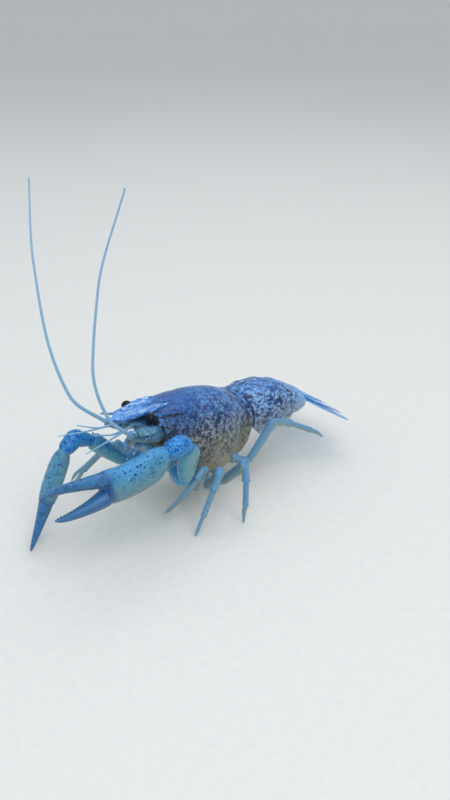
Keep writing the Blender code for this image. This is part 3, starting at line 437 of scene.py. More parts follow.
# A fan blade is as thin as paper and lets light through, so it looks bright and even.
fan_ground = ((0.0, "#86C0EE"), (0.5, "#76B8F0"), (1.0, "#6EB2F2"))
fan_marks = (("worm", "#3A7CCC", 1.6, 0.025, 0.2),)
fan_cuticle = cuticle("fan_cuticle", fan_ground, fan_marks, gloss=0.3, glow=0.25, stretch=(0.4, 1, 1))
print("body finishes: 5")

# %% Finishes of the limbs
# A leg is a thin, half-clear tube with pale flesh inside: much scattering, little colour, blue at the joints.
DOT = "#0A3A80"
leg_ground = ((0.0, "#8E9E9A"), (0.45, "#7A9EAC"), (1.0, "#669ECA"))
leg_marks = (("blot", "#6C9CC0", 1.6, 0.58, 0.2), ("dot", "#3C6CA6", 0.9, 0.26, 0.4))
leg_cuticle = cuticle("leg_cuticle", leg_ground, leg_marks, ends=("#4488C2", 0.12), glow=0.4, gloss=0.3)
arm_ground = ((0.0, "#6F9EA6"), (0.4, "#4F98B4"), (1.0, "#3C8EC4"))
arm_marks = (
    ("blot", "#3480B8", 1.8, 0.56, 0.3), ("dot", DOT, 0.9, 0.3, 0.5),
    ("dot", "#9AD6F0", 1.1, 0.24, 0.4),
)
arm_cuticle = cuticle(
    "arm_cuticle", arm_ground, arm_marks, ends=("#3A86C6", 0.1), bumps=(0.7, 0.06), glow=0.25,
    gloss=0.32,
)
# The wrist is the most saturated part: a thick blue shell, blotched navy, with pale blue bumps.
wrist_ground = ((0.0, "#3484B0"), (0.4, "#2A88C8"), (1.0, "#268EDC"))
wrist_marks = (
    ("blot", "#0862BA", 1.7, 0.53, 0.2),
    ("blot", "#044A98", 0.8, 0.59, 0.3),
    ("blot", "#6CC0F6", 0.8, 0.65, 0.4),
)
wrist_cuticle = cuticle("wrist_cuticle", wrist_ground, wrist_marks, bumps=(0.8, 0.1), glow=0.1)
# The palm is thinner shell than the wrist, greyer below, and strewn with small navy dots above.
palm_ground = ((0.0, "#74908E"), (0.3, "#638A92"), (0.55, "#5A90A2"), (0.78, "#5096B8"), (1.0, "#469CD8"))
palm_marks = (
    ("blot", "#3D7EA4", 1.6, 0.57, 0.3),
    ("blot", "#78C0E8", 0.8, 0.67, 0.35),
    ("dot", DOT, 1.2, 0.38, 0.5),
    ("dot", DOT, 0.8, 0.36, 0.62),
)
# Fingers bite and scrape, so their shell is dense, smooth and evenly dark. The palm turns navy at their root.
root_ground = ((0.0, "#446A7C"), (0.4, "#22588C"), (1.0, "#0C4A92"))
finger_ground = ((0.0, "#3C5F70"), (0.4, "#33688E"), (1.0, "#3478B4"))
to_finger = ((root_ground, 0.43, 0.49), (finger_ground, 0.5, 0.62))
palm_cuticle = cuticle(
    "palm_cuticle", palm_ground, palm_marks, tips=to_finger, bumps=(0.7, 0.08), glow=0.15
)
finger_marks = (("blot", "#235A8A", 1.8, 0.58, 0.1), ("blot", "#5496C8", 0.8, 0.65, 0.4))
finger_cuticle = cuticle("finger_cuticle", finger_ground, finger_marks, gloss=0.26)
# The bumps are bare lime with hardly any pigment over it, so they stand out pale.
bump_cuticle = cuticle("bump_cuticle", ((0.0, "#5894B0"), (0.5, "#56A2CE"), (1.0, "#5AAEE6")), glow=0.15)
face_ground = ((0.0, "#7C9AA0"), (0.5, "#68A2C2"), (1.0, "#6CB0E0"))
face_marks = (
    ("blot", "#5C8494", 1.9, 0.54, 0.1),
    ("blot", "#3E78B4", 1.0, 0.59, 0.2),
    ("blot", "#B0E0F6", 1.1, 0.64, 0.3),
    ("dot", "#2A5C98", 0.9, 0.3, 0.4),
)
face_cuticle = cuticle("face_cuticle", face_ground, face_marks, ends=("#A4D4F0", 0.06), glow=0.3)
feeler_ground = ((0.0, "#90BCDC"), (1.0, "#84B8E6"))
feeler_cuticle = cuticle("feeler_cuticle", feeler_ground, (), glow=0.3)
bristle_chitin = cuticle("bristle_chitin", ((0.0, "#8A9AA5"), (1.0, "#A5B5C0")), gloss=0.5)
joint_membrane = cuticle("joint_membrane", ((0.0, "#93A4A8"), (1.0, "#86A2B4")), gloss=0.45, glow=0.3)
print("limb finishes: 10")

# %% [markdown]
# ## The carapace
# One stiff shield covers head and chest. Its section is a deep arch whose sides drop round the gills and
# stop above the legs. A groove crosses the neck, two fine lines run from it to the rear, and the rear edge
# is a rolled rim. The rings stand across the shield and lean with the groove, so that the groove is one
# clean line of points.

# %% Sizes of the carapace
CARAPACE_LENGTH = 44.0
CARAPACE_HALF_WIDTH = 11.0
CARAPACE_DEPTH = 22.5
REAR_HEIGHT = 28.0
CARAPACE_PITCH = math.radians(13.5)
HALF_WIDTH_AT = (
    (0.0, 0.74), (0.06, 0.86), (0.16, 0.98), (0.28, 1.0), (0.42, 0.95), (0.56, 0.84), (0.68, 0.70),
    (0.78, 0.58),
)
TOP_AT = (
    (0.0, 0.0), (0.08, 0.045), (0.20, 0.075), (0.34, 0.07), (0.50, 0.045), (0.64, 0.008),
    (0.80, -0.055), (1.0, -0.145),
)
MIDDLE_AT = ((0.0, -0.30), (0.2, -0.36), (0.5, -0.34), (0.78, -0.26))
LOW_AT = (
    (0.0, -0.78), (0.06, -0.84), (0.16, -0.885), (0.30, -0.89), (0.46, -0.83), (0.56, -0.70),
    (0.66, -0.54), (0.78, -0.42),
)
REAR_AT = ((0.0, 0.0), (0.25, -1.9), (0.5, -3.1), (0.75, -4.0), (0.88, -4.1), (0.96, -3.2), (1.0, -1.4))
LOW_ANGLE = math.radians(-39)
SQUARENESS = 0.88
GROOVE_AT = 0.35
GROOVE_REACH = 0.25
FACE_AT = 0.722
FACE_TILT = 0.55
BELLY_RISE = 1.4


def stand(point):
    """From the carapace's own frame, x forward from its rear edge, to the standing animal."""
    x, y, z = point
    cos, sin = math.cos(CARAPACE_PITCH), math.sin(CARAPACE_PITCH)
    return Vector((x * cos - z * sin, y, REAR_HEIGHT + x * sin + z * cos))


def on_side(line, side):
    return [stand(mirrored(point, side)) for point in line]


def standing(rings):
    return [[(stand(point), crown) for point, crown in ring] for ring in rings]


# %% The section of the shield at any place
def shell_top(x):
    return CARAPACE_DEPTH * profile(TOP_AT, x / CARAPACE_LENGTH)


def shell_low(x):
    return CARAPACE_DEPTH * profile(LOW_AT, x / CARAPACE_LENGTH)


def shell_point(x, angle):
    share = x / CARAPACE_LENGTH
    middle = CARAPACE_DEPTH * profile(MIDDLE_AT, share)
    wide = CARAPACE_HALF_WIDTH * profile(HALF_WIDTH_AT, share)
    y = wide * max(0.0, math.cos(angle)) ** SQUARENESS
    if angle >= 0:
        return y, middle + (shell_top(x) - middle) * math.sin(angle) ** SQUARENESS
    return y, middle + (shell_low(x) - middle) * math.sin(angle) / math.sin(LOW_ANGLE)


def face_x(z):
    return FACE_AT * CARAPACE_LENGTH + FACE_TILT * (z + 3.0)


# %% The relief on it
GROOVE_DEPTH = 0.55
GROOVE_WIDTH = 0.055  # as a share of the length between groove and edge
RIM_HEIGHT = 0.28


def shell_relief(share, down):
    """How far the surface stands off the plain arch, in millimetres."""
    dip = -GROOVE_DEPTH * bell(share, 1.0, GROOVE_WIDTH) * (1 - 0.5 * down)
    rim = RIM_HEIGHT * bell(share, 0.03, 0.03) - 0.2 * bell(share, 0.11, 0.03)
    lower = 0.3 * bell(down, 0.985, 0.02) - 0.15 * bell(down, 0.93, 0.025)
    line = -0.16 * bell(down, 0.12 + 0.06 * share, 0.014) if share < 1 else 0.0
    cheek = 0.35 * bell(share, 1.45, 0.25) * bell(down, 0.62, 0.12)
    hollow = -0.3 * bell(share, 1.7, 0.2) * bell(down, 0.45, 0.06)
    return dip + rim + lower + line + cheek + hollow


SHELL_STEPS = 40  # on each side
SHELL_WALL = 0.45  # the plate's lower edge turns in by its own thickness


def shell_ring(share):
    groove_x = GROOVE_AT * CARAPACE_LENGTH
    left = []
    for step in range(SHELL_STEPS + 1):
        down = 1 - step / SHELL_STEPS
        angle = LOW_ANGLE * down + math.radians(90) * (1 - down)
        reach = GROOVE_REACH * CARAPACE_LENGTH * down**1.15
        if share <= 1:
            x = share * groove_x + profile(REAR_AT, down) * (1 - share) + reach * share
        else:
            front = face_x(shell_point(FACE_AT * CARAPACE_LENGTH, angle)[1])
            x = (groove_x + reach) * (2 - share) + front * (share - 1)
        y, z = shell_point(x, angle)
        wave = 0.12 * noise.noise(Vector((x, y, z)) * 0.35)
        off = (shell_relief(share, down) + wave) / CARAPACE_HALF_WIDTH
        centre = 0.45 * (shell_top(x) + shell_low(x))
        left.append((Vector((x, y * (1 + off), centre + (z - centre) * (1 + off))), 1 - down))
    edge = left[0][0]
    inner = edge.z + BELLY_RISE
    belly = [(Vector((edge.x, edge.y - SHELL_WALL, edge.z + 0.05)), 0.0)]
    belly += [(Vector((edge.x, (edge.y - 1.3) * f, inner)), 0.0) for f in (1.0, 0.66, 0.33)]
    middle = (Vector((edge.x, 0.0, inner)), 0.0)
    return [middle, *reversed(belly), *left, *reversed(flipped(left[:-1])), *flipped(belly)]


# %% Rings that turn the shield's open ends inwards
def shrunk(ring, thickness, forward):
    centre = middle_of(ring)
    size = 1 - thickness / CARAPACE_HALF_WIDTH
    return [
        (Vector((p.x + forward, p.y * size, centre.z + (p.z - centre.z) * size)), 0.3 * c)
        for p, c in ring
    ]


def flat_end(ring, x, size=1.0):
    centre = middle_of(ring)
    return [(Vector((x, p.y * size, centre.z + (p.z - centre.z) * size)), 0.1) for p, _ in ring]


chest_rings = [shell_ring(s) for s in shares(66)]
rim = chest_rings[0]
hollow_rings = [flat_end(shrunk(rim, 1.5, 0), 1.6, 0.4), flat_end(shrunk(rim, 1.5, 0), 1.3)]
hollow_rings += [shrunk(rim, 1.3, 0.4), shrunk(rim, 0.6, 0.0), shrunk(rim, 0.15, -0.12)]
chest_stack = standing([*hollow_rings, *chest_rings, shrunk(chest_rings[-1], 2.0, 0.2)])
print("chest rings:", len(chest_stack), "points in each:", len(rim))

# %% [markdown]
# ## Where the limbs join the chest
# Each limb starts with a short collar, the coxa, that sits in the soft skin under the shield's edge. It
# leans outwards and forwards or backwards with its place in the row. A tapered ring stack with a rolled
# end is enough, because only its outer half ever shows.

# %% Coxae and hips
COXA_AT = {1: 0.515, 2: 0.37, 3: 0.28, 4: 0.18, 5: 0.045}
COXA_RADIUS = {1: 2.6, 2: 2.0, 3: 2.0, 4: 1.9, 5: 1.8}
COXA_SPREAD = 5.0
COXA_LEAN = {
    1: (0.35, 0.45, -0.82), 2: (0.15, 0.5, -0.85), 3: (0.0, 0.5, -0.87), 4: (-0.1, 0.5, -0.86),
    5: (-0.5, 0.75, -0.5),
}
COXA_LENGTH = 3.6
COXA_SHAPE = ((-0.45, 0.9), (0.15, 1.0), (0.45, 0.92), (0.8, 1.0), (0.92, 1.04), (1.0, 0.9))


def coxa_axis(number, side):
    x = COXA_AT[number] * CARAPACE_LENGTH
    root = Vector((x, side * COXA_SPREAD, shell_low(x) + BELLY_RISE))
    lean = Vector(COXA_LEAN[number]).normalized()
    lean.y *= side
    return root, lean


def coxa(number, side):
    root, lean = coxa_axis(number, side)
    rings = []
    for share in shares(12, -0.45, 1.0):
        size = COXA_RADIUS[number] * profile(COXA_SHAPE, share)
        rings.append(ellipse(root + lean * (share * COXA_LENGTH), lean, Vector((1, 0, 0)), size, size))
    return standing(capped(rings, end=0.5))


def hip(number, side):
    root, lean = coxa_axis(number, side)
    end = stand(root + lean * COXA_LENGTH)
    return end, (end - stand(root)).normalized()


chest_mesh = skin("chest", [chest_stack])
piece("chest_shell", chest_mesh, shell_cuticle, "shell", "thorax")
coxae = skin("coxae", [coxa(number, side) for number in COXA_AT for side in (1, -1)])
piece("limb_collars", coxae, leg_cuticle, "shell")
print("chest faces:", len(chest_mesh.polygons))

# %% [markdown]
# ## The head and its rostrum
# In front of the groove the shield narrows to the face and runs out over the eyes in a trough-shaped
# beak, the rostrum, with raised edges, a small spine at each side and a sharp tip. Behind each eye lies a
# short ridge with a spine of its own. The beak gets its own rings, because its section is a trough.

# %% Rostrum
ROSTRUM_HALF_WIDTH_AT = (
    (0.56, 2.2), (0.66, 3.3), (0.74, 3.7), (0.82, 3.1), (0.90, 2.5), (0.935, 2.3), (0.95, 1.5),
    (1.0, 0.12),
)
ROSTRUM_FROM = 0.56  # as a share of the carapace
ROSTRUM_RIM = 0.6
ROSTRUM_SECTION = (
    (0.0, -0.25), (0.3, -0.2), (0.55, 0.0), (0.74, 0.32), (0.86, 0.95), (0.93, 1.05), (1.0, 0.7),
    (1.03, 0.1),
)
ROSTRUM_UNDER = ((1.0, -0.55), (0.9, -0.9), (0.7, -1.1), (0.5, -1.3), (0.25, -1.5), (0.0, -1.6))


def rostrum():
    rings = []
    for share in shares(46, ROSTRUM_FROM):
        x = share * CARAPACE_LENGTH
        wide = profile(ROSTRUM_HALF_WIDTH_AT, share)
        fade = min(1.0, wide / 2.0)
        rise = min(1.0, (share - ROSTRUM_FROM) / 0.12)
        top = shell_top(x) - 0.5 + 0.62 * rise
        half = []
        for across, up in ROSTRUM_SECTION:
            lift = ROSTRUM_RIM * rise if up > 0 else 0.6
            half.append((across * wide, top + up * lift * fade))
        half += [(across * wide, top + up * fade - 0.05) for across, up in ROSTRUM_UNDER]
        marks = [1.0] * len(ROSTRUM_SECTION) + [0.45] * len(ROSTRUM_UNDER)
        left = [(Vector((x, y, z)), crown) for (y, z), crown in zip(half, marks)]
        rings.append(left + flipped(left[1:-1])[::-1])
    return standing(rings)


# %% Ridges and spines of the head
def spindle(path, radii):
    points = smooth_path([Vector(p) for p in path], 14)
    sizes = [(profile(radii, share),) * 2 for share in shares(14)]
    return standing(strung(points, Vector((0, 1, 0)), sizes, 12))


def eye_ridge(side):
    path = []
    for share, lift in ((0.56, -0.1), (0.64, 0.08), (0.69, 0.1), (0.725, 0.15), (0.75, 0.5)):
        x = share * CARAPACE_LENGTH
        y, z = shell_point(min(x, 0.73 * CARAPACE_LENGTH), math.radians(48))
        path.append((x, side * (y + lift), z + lift))
    return spindle(path, ((0.0, 0.3), (0.3, 0.55), (0.8, 0.55), (1.0, 0.08)))


def side_spine(share, angle, side, length, radius):
    x = share * CARAPACE_LENGTH
    y, z = shell_point(x, math.radians(angle))
    root = Vector((x - 0.6, side * (y - radius), z))
    tip = Vector((x + length, side * (y + 0.6 * length), z + 0.1))
    return spindle((root, root.lerp(tip, 0.5), tip), ((0.0, radius), (0.5, 0.6 * radius), (1.0, 0.07)))


SPINES = ((0.725, 22, 1.6, 0.7), (0.57, 8, 1.0, 0.55))
head_rings = [shell_ring(s) for s in shares(60, 1.0, 2.0)]
front = head_rings[-1]
LIP = ((0.1, 0.14), (0.4, 0.1), (0.75, -0.3), (1.0, -1.3), (5.0, -1.6))
turned_in = [shrunk(front, inward, forward) for inward, forward in LIP]
head_stack = standing([shrunk(head_rings[0], 2.0, -0.2), *head_rings, *turned_in])
spines = [side_spine(share, angle, side, *sizes) for share, angle, *sizes in SPINES for side in (1, -1)]
head_mesh = skin("head", [head_stack, *spines, eye_ridge(1), eye_ridge(-1)])
piece("head_shell", head_mesh, head_cuticle, "shell", "head")
piece("beak", skin("beak", [rostrum()]), beak_cuticle, "shell")
print("head faces:", len(head_mesh.polygons))


# %% Mouth block
def on_face(y, z, clear=0.36):
    return stand(Vector((face_x(z) + clear, y, z)))


def face_normal():
    return (stand(Vector((1, 0, -FACE_TILT))) - stand(Vector())).normalized()


MOUTH_AT = (27.8, 0.0, -9.3)
MOUTH_RADIUS, MOUTH_HALF_WIDTH = 2.6, 3.4


def mouth():
    rings = []
    forward, left = Vector((1, 0, 0)), Vector((0, 1, 0))
    for share in shares(15, -0.97, 0.97):
        size = math.sqrt(1 - share * share)
        centre = Vector(MOUTH_AT) + forward * (MOUTH_RADIUS * share)
        rings.append(ellipse(centre, forward, left, MOUTH_RADIUS * size, MOUTH_HALF_WIDTH * size, 28))
    return standing(rings)


piece("mouth_block", skin("mouth", [mouth()]), joint_membrane, "limb")

# %% [markdown]
# ## The tail
# Six rings of plate slide into each other from front to back, so that the tail can curl. Each has a smooth
# front band that hides under the plate before it, a step, and an arched back with a rounded lobe hanging at
# each side. The rings are turned to stay across the bent middle line, and every plate's rear edge is drawn
# a little over the next one, as on the animal, which closes the gap.

# %% Sizes of the tail
ABDOMEN_LENGTH = 28.6
ABDOMEN_HALF_WIDTH = 8.8
ABDOMEN_DEPTH = 10.5
SEGMENT_SHARES = (0.13, 0.18, 0.18, 0.175, 0.16, 0.175)
SEGMENT_PITCH = (0, 1, -4, -13, -21, -27)
SEGMENT_YAW = (0, 1, 3, 5, 7, 8)
SEGMENT_WIDTH = (0.84, 0.97, 1.0, 0.95, 0.86, 0.74)
SEGMENT_DEPTH = (0.88, 0.91, 0.96, 0.93, 0.82, 0.66)
PLEURON_DROP = (0.6, 3.4, 3.2, 2.8, 2.2, 0.5)
STEP_UP = 0.05
LINE_BELOW_TOP = 0.46
LAST_BELLY = 0.35
RECESS_DEPTH, GAP, RIM_THICKNESS = 1.0, 0.3, 1.5


def spine_directions():
    made = []
    for pitch, yaw in zip(SEGMENT_PITCH, SEGMENT_YAW):
        up, left = math.radians(pitch), math.radians(yaw)
        made.append(Vector((-math.cos(up) * math.cos(left), math.cos(up) * math.sin(left), math.sin(up))))
    return made


def spine_joints():
    height = REAR_HEIGHT - RIM_THICKNESS - LINE_BELOW_TOP * ABDOMEN_DEPTH * SEGMENT_DEPTH[0]
    joints = [Vector((RECESS_DEPTH - GAP, 0.0, height))]
    for direction, share in zip(spine_directions(), SEGMENT_SHARES):
        joints.append(joints[-1] + direction * (share * ABDOMEN_LENGTH))
    return joints


def joint_normals():
    ways = spine_directions()
    return [Vector((-1, 0, 0)), *[(a + b).normalized() for a, b in zip(ways, ways[1:])], ways[-1]]


# %% The section of a tail plate
ARCH_STEPS, FLANK_STEPS = 30, 8


def arch(half_width, depth, drop, lean_back, hang):
    top, belly = LINE_BELOW_TOP * depth, -(1 - LINE_BELOW_TOP) * depth * hang
    low = belly - drop
    left = []
    for f in shares(ARCH_STEPS + 1):
        angle = math.radians(90) * f
        y = half_width * max(0.0, math.cos(angle)) ** 0.85
        z = 0.25 * belly + (top - 0.25 * belly) * math.sin(angle) ** 0.9
        left.append((y, z, 0.0, 0.45 + 0.55 * f))
    flank = []
    for f in shares(FLANK_STEPS + 1):
        z = low + (0.4 * belly - low) * f
        y = half_width * (0.93 + 0.07 * math.sin(0.5 * math.pi * f))
        flank.append((y, z, lean_back * (1 - f), 0.4 * f))
    inner = [
        (0.9 * half_width - 0.5, low + 0.1, lean_back, 0.0),
        (0.83 * half_width - 0.9, belly, 0.0, 0.0)
    ]
    under = [(0.42 * half_width, belly + 0.3, 0.0, 0.0), (0.0, belly + 0.4, 0.0, 0.0)]
    half = [*reversed(under), *reversed(inner), *flank, *left]
    mirror = [(-y, z, back, crown) for y, z, back, crown in reversed(half[1:-1])]
    return [*half, *mirror]


# %% Plates of the tail
TAIL_RINGS = 34
FIRST_WIDTH, FIRST_DEPTH = 0.86, 0.94  # the first plate lies inside the carapace
OVERHANG = 0.9  # how far a plate reaches over the next one, in millimetres
TAIL_LIP = ((0.985, 0.1), (0.95, 0.0), (0.94, -0.6), (0.3, -0.7))  # size and place of the rings inside it


def segment_rings(index):
    joints, normals = spine_joints(), joint_normals()
    start, end = joints[index], joints[index + 1]
    length = (end - start).length
    rings = []
    last = 1.0 + OVERHANG / length if index < 5 else 1.0
    for share in shares(TAIL_RINGS, 0.0, last):
        normal = normals[index].lerp(normals[index + 1], min(1.0, share)).normalized()
        centre = start.lerp(end, share)
        across, upward = axes_of(normal)
        raised = profile(((0.0, 0.0), (0.12, 0.0), (0.2, 1.0), (1.0, 1.0)), share)
        size = 1 - STEP_UP * (1 - raised) + 0.025 * max(0.0, share - 0.75) / 0.25
        size += 0.012 * bell(share, 0.26, 0.05) - 0.012 * bell(share, 0.45, 0.07)
        own, follow = SEGMENT_WIDTH[index], SEGMENT_WIDTH[min(index + 1, 5)]
        wide = size * ABDOMEN_HALF_WIDTH * (own + (follow - own) * max(0, share - 0.5))
        own, follow = SEGMENT_DEPTH[index], SEGMENT_DEPTH[min(index + 1, 5)]
        depth = size * ABDOMEN_DEPTH * (own + (follow - own) * max(0, share - 0.5))
        hang = 1.0 if index < 5 else 1 - (1 - LAST_BELLY) * share**1.5
        if index == 0:
            wide *= FIRST_WIDTH
            depth *= FIRST_DEPTH
        wide *= 1 + 0.03 * math.sin(math.pi * min(1.0, share))
        lobe = PLEURON_DROP[index] * max(0.02, math.sin(math.pi * min(1.0, share * 1.02 / last)) ** 0.7)
        section = arch(wide, depth, lobe, 1.1 * lobe / 3.0, hang)
        rings.append([(centre + across * y + upward * z + normal * back, c) for y, z, back, c in section])
    rim_ring = rings[-1]
    centre = middle_of(rim_ring)
    for size, back in TAIL_LIP:
        off = normals[index + 1] * back
        rings.append([(centre + (p - centre) * size + off, 0.2) for p, _ in rim_ring])
    return rings


# %% Swimmerets
def swimmeret(index, side):
    joints, ways = spine_joints(), spine_directions()
    middle = joints[index].lerp(joints[index + 1], 0.45)
    back = ways[index]
    across, up = axes_of(back)
    down = -up
    belly = (1 - LINE_BELOW_TOP) * ABDOMEN_DEPTH * SEGMENT_DEPTH[index]
    root = middle + across * (side * 3.6) + down * (belly - 1.4)
    knee = root + down * 2.6 + back * 0.6 + across * (side * 0.4)
    tip = knee + back * 3.0 + down * 2.6 + across * (side * 0.3)
    stations = ((root, 0.7, 0.8), (knee, 0.6, 0.9), (knee.lerp(tip, 0.5), 0.4, 1.1), (tip, 0.28, 0.5))
    line = smooth_path([s[0] for s in stations], 16)
    table = [(k / 3, *s[1:]) for k, s in enumerate(stations)]
    sizes = [row_at(table, share) for share in shares(16)]
    return capped(strung(line, across, sizes, 14), end=0.3)


for index in range(6):
    name = f"tail_plate_{index + 1}"
    piece(name, skin(name, [segment_rings(index)]), tail_cuticle, "tail", f"abdomen_{index + 1}")
paddles = [swimmeret(index, side) for index in range(1, 5) for side in (1, -1)]
piece("swimmerets", skin("swimmerets", paddles), leg_cuticle, "tail")
print("tail plates: 6, swimmerets:", len(paddles))

# %% [markdown]
# ## The tail fan
# The telson in the middle and two pairs of paddles beside it are thin, springy blades. Each is a flat ring
# stack with a raised midrib, rounded at its end. The outer paddles and the telson have a cross line where
# the blade folds. Five separate blades are made, because on the animal they slide over each other.

# %% Blades
# The tables hold a share of the blade's length, half width, half thickness and shift outwards.
FAN_PITCH = math.radians(-32)
FAN_YAW = math.radians(8)
FAN_ROLL = math.radians(6)
FAN_DROOP = 0.005
TELSON_LENGTH, INNER_LENGTH, OUTER_LENGTH = 13.0, 13.0, 14.6
INNER_TURN, OUTER_TURN = math.radians(15), math.radians(37)
INNER_ROOT, OUTER_ROOT = 5.2, 5.4
TELSON_LEVEL, INNER_LEVEL, OUTER_LEVEL = 1.9, 1.35, 0.65
TELSON = (
    (0.0, 3.3, 0.75, 0), (0.08, 3.6, 0.75, 0), (0.3, 3.85, 0.65, 0), (0.55, 3.8, 0.5, 0),
    (0.6, 3.5, 0.46, 0), (0.8, 3.45, 0.38, 0), (0.93, 2.9, 0.3, 0), (1.0, 1.7, 0.26, 0),
)
UROPOD_INNER = (
    (0.0, 0.95, 0.33, 0), (0.1, 1.5, 0.33, 0.1), (0.3, 2.6, 0.33, 0.4), (0.6, 3.2, 0.32, 0.5),
    (0.82, 3.0, 0.3, 0.4), (0.94, 2.3, 0.27, 0.3), (1.0, 1.2, 0.25, 0.2),
)
UROPOD_OUTER = (
    (0.0, 0.95, 0.34, 0), (0.1, 1.6, 0.34, 0.1), (0.3, 3.0, 0.34, 0.4), (0.58, 3.8, 0.34, 0.5),
    (0.62, 3.7, 0.28, 0.5), (0.84, 3.3, 0.27, 0.4), (0.96, 2.2, 0.26, 0.3), (1.0, 1.2, 0.25, 0.2),
)


def fan_axes():
    level = math.cos(FAN_PITCH)
    back = Vector((-level * math.cos(FAN_YAW), level * math.sin(FAN_YAW), math.sin(FAN_PITCH)))
    left, up = axes_of(back)
    cos, sin = math.cos(FAN_ROLL), math.sin(FAN_ROLL)
    return back, left * cos + up * sin, up * cos - left * sin


def fan_point(root, turn, level, along, across, height):
    back, left, up = fan_axes()
    base = spine_joints()[-1] + joint_normals()[-1] * (GAP / 2)
    y = root + math.sin(turn) * along + math.cos(turn) * across
    x = math.cos(turn) * along - math.sin(turn) * across
    if along < 1.0:
        x *= along
    droop = FAN_DROOP * y * y * min(1.0, along / 4.0)
    return base + back * x + left * y + up * (level + height - droop)


BLADE_POINTS = 40


def blade(root, turn, level, table, length, side=1):
    rings = []
    for share in shares(38):
        wide, thick, shift = row_at(table, share)
        ring = []
        for i in range(BLADE_POINTS):
            angle = 2 * math.pi * i / BLADE_POINTS
            flat = math.copysign(abs(math.cos(angle)) ** 0.8, math.cos(angle))
            high = math.copysign(abs(math.sin(angle)) ** 0.8, math.sin(angle))
            rib = 0.22 * bell(flat, 0.0, 0.12) * (1 - share) if high > 0 else 0.0
            point = fan_point(
                root, turn, level, share * length, side * shift + wide * flat, thick * high + rib
            )
            ring.append((point, 0.5 + 0.5 * high))
        rings.append(ring)
    return capped(rings, end=0.5)


def blade_edge(root, turn, level, table, length, side=1, first=0.5):
    """The blade's free edge, as points with the way that bristles grow from them."""
    line = []
    for sign in (-1, 1):
        part = []
        for share in shares(24, first, 1.0):
            wide, _, shift = row_at(table, share)
            beyond = wide + 1.0 + 0.6 * (1 - share)
            here = fan_point(root, turn, level, share * length, side * shift + sign * wide, 0.0)
            away = fan_point(
                root, turn, level, (share + 0.12) * length, side * shift + sign * beyond, 0.0
            )
            part.append((here, (away - here).normalized()))
        line += part if sign == -1 else part[::-1]
    return line


telson_sizes = (0.0, 0.0, TELSON_LEVEL, TELSON, TELSON_LENGTH)
piece("middle_paddle", skin("telson", [blade(*telson_sizes)]), fan_cuticle, "tail", "telson")
fan_edges = [blade_edge(*telson_sizes, first=0.62)]
for side, word in LEFT_AND_RIGHT:
    inner_sizes = (side * INNER_ROOT, side * INNER_TURN, INNER_LEVEL, UROPOD_INNER, INNER_LENGTH, side)
    outer_sizes = (side * OUTER_ROOT, side * OUTER_TURN, OUTER_LEVEL, UROPOD_OUTER, OUTER_LENGTH, side)
    for kind, sizes in (("inner", inner_sizes), ("outer", outer_sizes)):
        shape = skin(kind, [blade(*sizes)])
        piece(f"{kind}_paddle_{word}", shape, fan_cuticle, "tail", f"uropod_{kind}_{word}")
        fan_edges.append(blade_edge(*sizes))
print("fan blades: 5")

# %% [markdown]
# ## Walking legs
# A leg is a chain of stiff tubes. Each one starts as a narrow neck that sits inside the flared end of the
# one before, which is how a shell without muscles outside can bend. Two pairs end in small pincers and two
# in plain claws. Making every tube by itself, with that neck and flare, gives true joints at any bend.

# %% Feet and joints
FEET = {
    (2, 1): (30.6, 6.4, 2.6),
    (3, 1): (29.3, 16.5, 0.0),
    (4, 1): (16.2, 22.2, 0.0),
    (5, 1): (-25.0, 16.7, 8.5),
    (2, -1): (38.1, -28.0, 0.0),
    (3, -1): (22.0, -26.0, 0.0),
    (4, -1): (6.0, -26.0, 0.0),
    (5, -1): (-12.0, -22.0, 0.0),
}
KNEES = {
    (2, 1): (23.4, 13.8, 17.2), (3, 1): (21.5, 18.2, 17.6), (4, 1): (15.0, 21.4, 18.4),
    (5, 1): (-7.0, 12.2, 19.8),
}
ISCHIUM = {2: 4.5, 3: 4.5, 4: 4.2, 5: 4.0}
MERUS = {2: 11.0, 3: 11.5, 4: 10.5, 5: 11.0}
LOWER = {2: 20.0, 3: 21.0, 4: 19.5, 5: 19.0}
LOWER_SHARES = (0.30, 0.72)
LOWER_BOW, FLEXED_BOW = 0.7, 2.6
PINCER_LEGS = (2, 3)
LEG_SIZE = {2: 1.0, 3: 1.0, 4: 0.95, 5: 0.86}
LEG_SIZES = (
    ((1.55, 1.45), (1.5, 1.3)),
    ((1.5, 1.3), (1.6, 1.25)),
    ((1.2, 1.05), (1.3, 1.1)),
    ((1.05, 0.9), (1.0, 0.8)),
    ((0.9, 0.7), (0.42, 0.42)),
)


def bend(start, end, first, second, lean):
    span = end - start
    reach = min(span.length, 0.999 * (first + second))
    along = (first**2 - second**2 + reach**2) / (2 * reach)
    off = math.sqrt(max(0.0, first**2 - along**2))
    way = span.normalized()
    return start + way * along + (lean - way * lean.dot(way)).normalized() * off


def leg_path(number, side):
    root, lean = hip(number, side)
    foot = Vector(FEET[number, side])
    aim = Vector(KNEES.get((number, side), foot))
    outward = Vector((aim.x - root.x, aim.y - root.y, 0)).normalized()
    ischium = root + (outward + lean * 0.8).normalized() * ISCHIUM[number]
    knee = bend(ischium, foot, MERUS[number], LOWER[number], UP + outward * 0.3) if aim == foot else aim
    bow = FLEXED_BOW if (number, side) == (2, 1) else LOWER_BOW
    wrist, ankle = (knee.lerp(foot, share) + (UP + outward) * bow for share in LOWER_SHARES)
    return [root, ischium, knee, wrist, ankle, foot]


# %% One article of a limb
ARTICLE = (
    (0.0, 0.5), (0.02, 0.72), (0.06, 0.86), (0.12, 0.92), (0.3, 0.95), (0.7, 1.0), (0.88, 1.05),
    (0.95, 1.13), (0.985, 1.12), (1.0, 0.95),
)


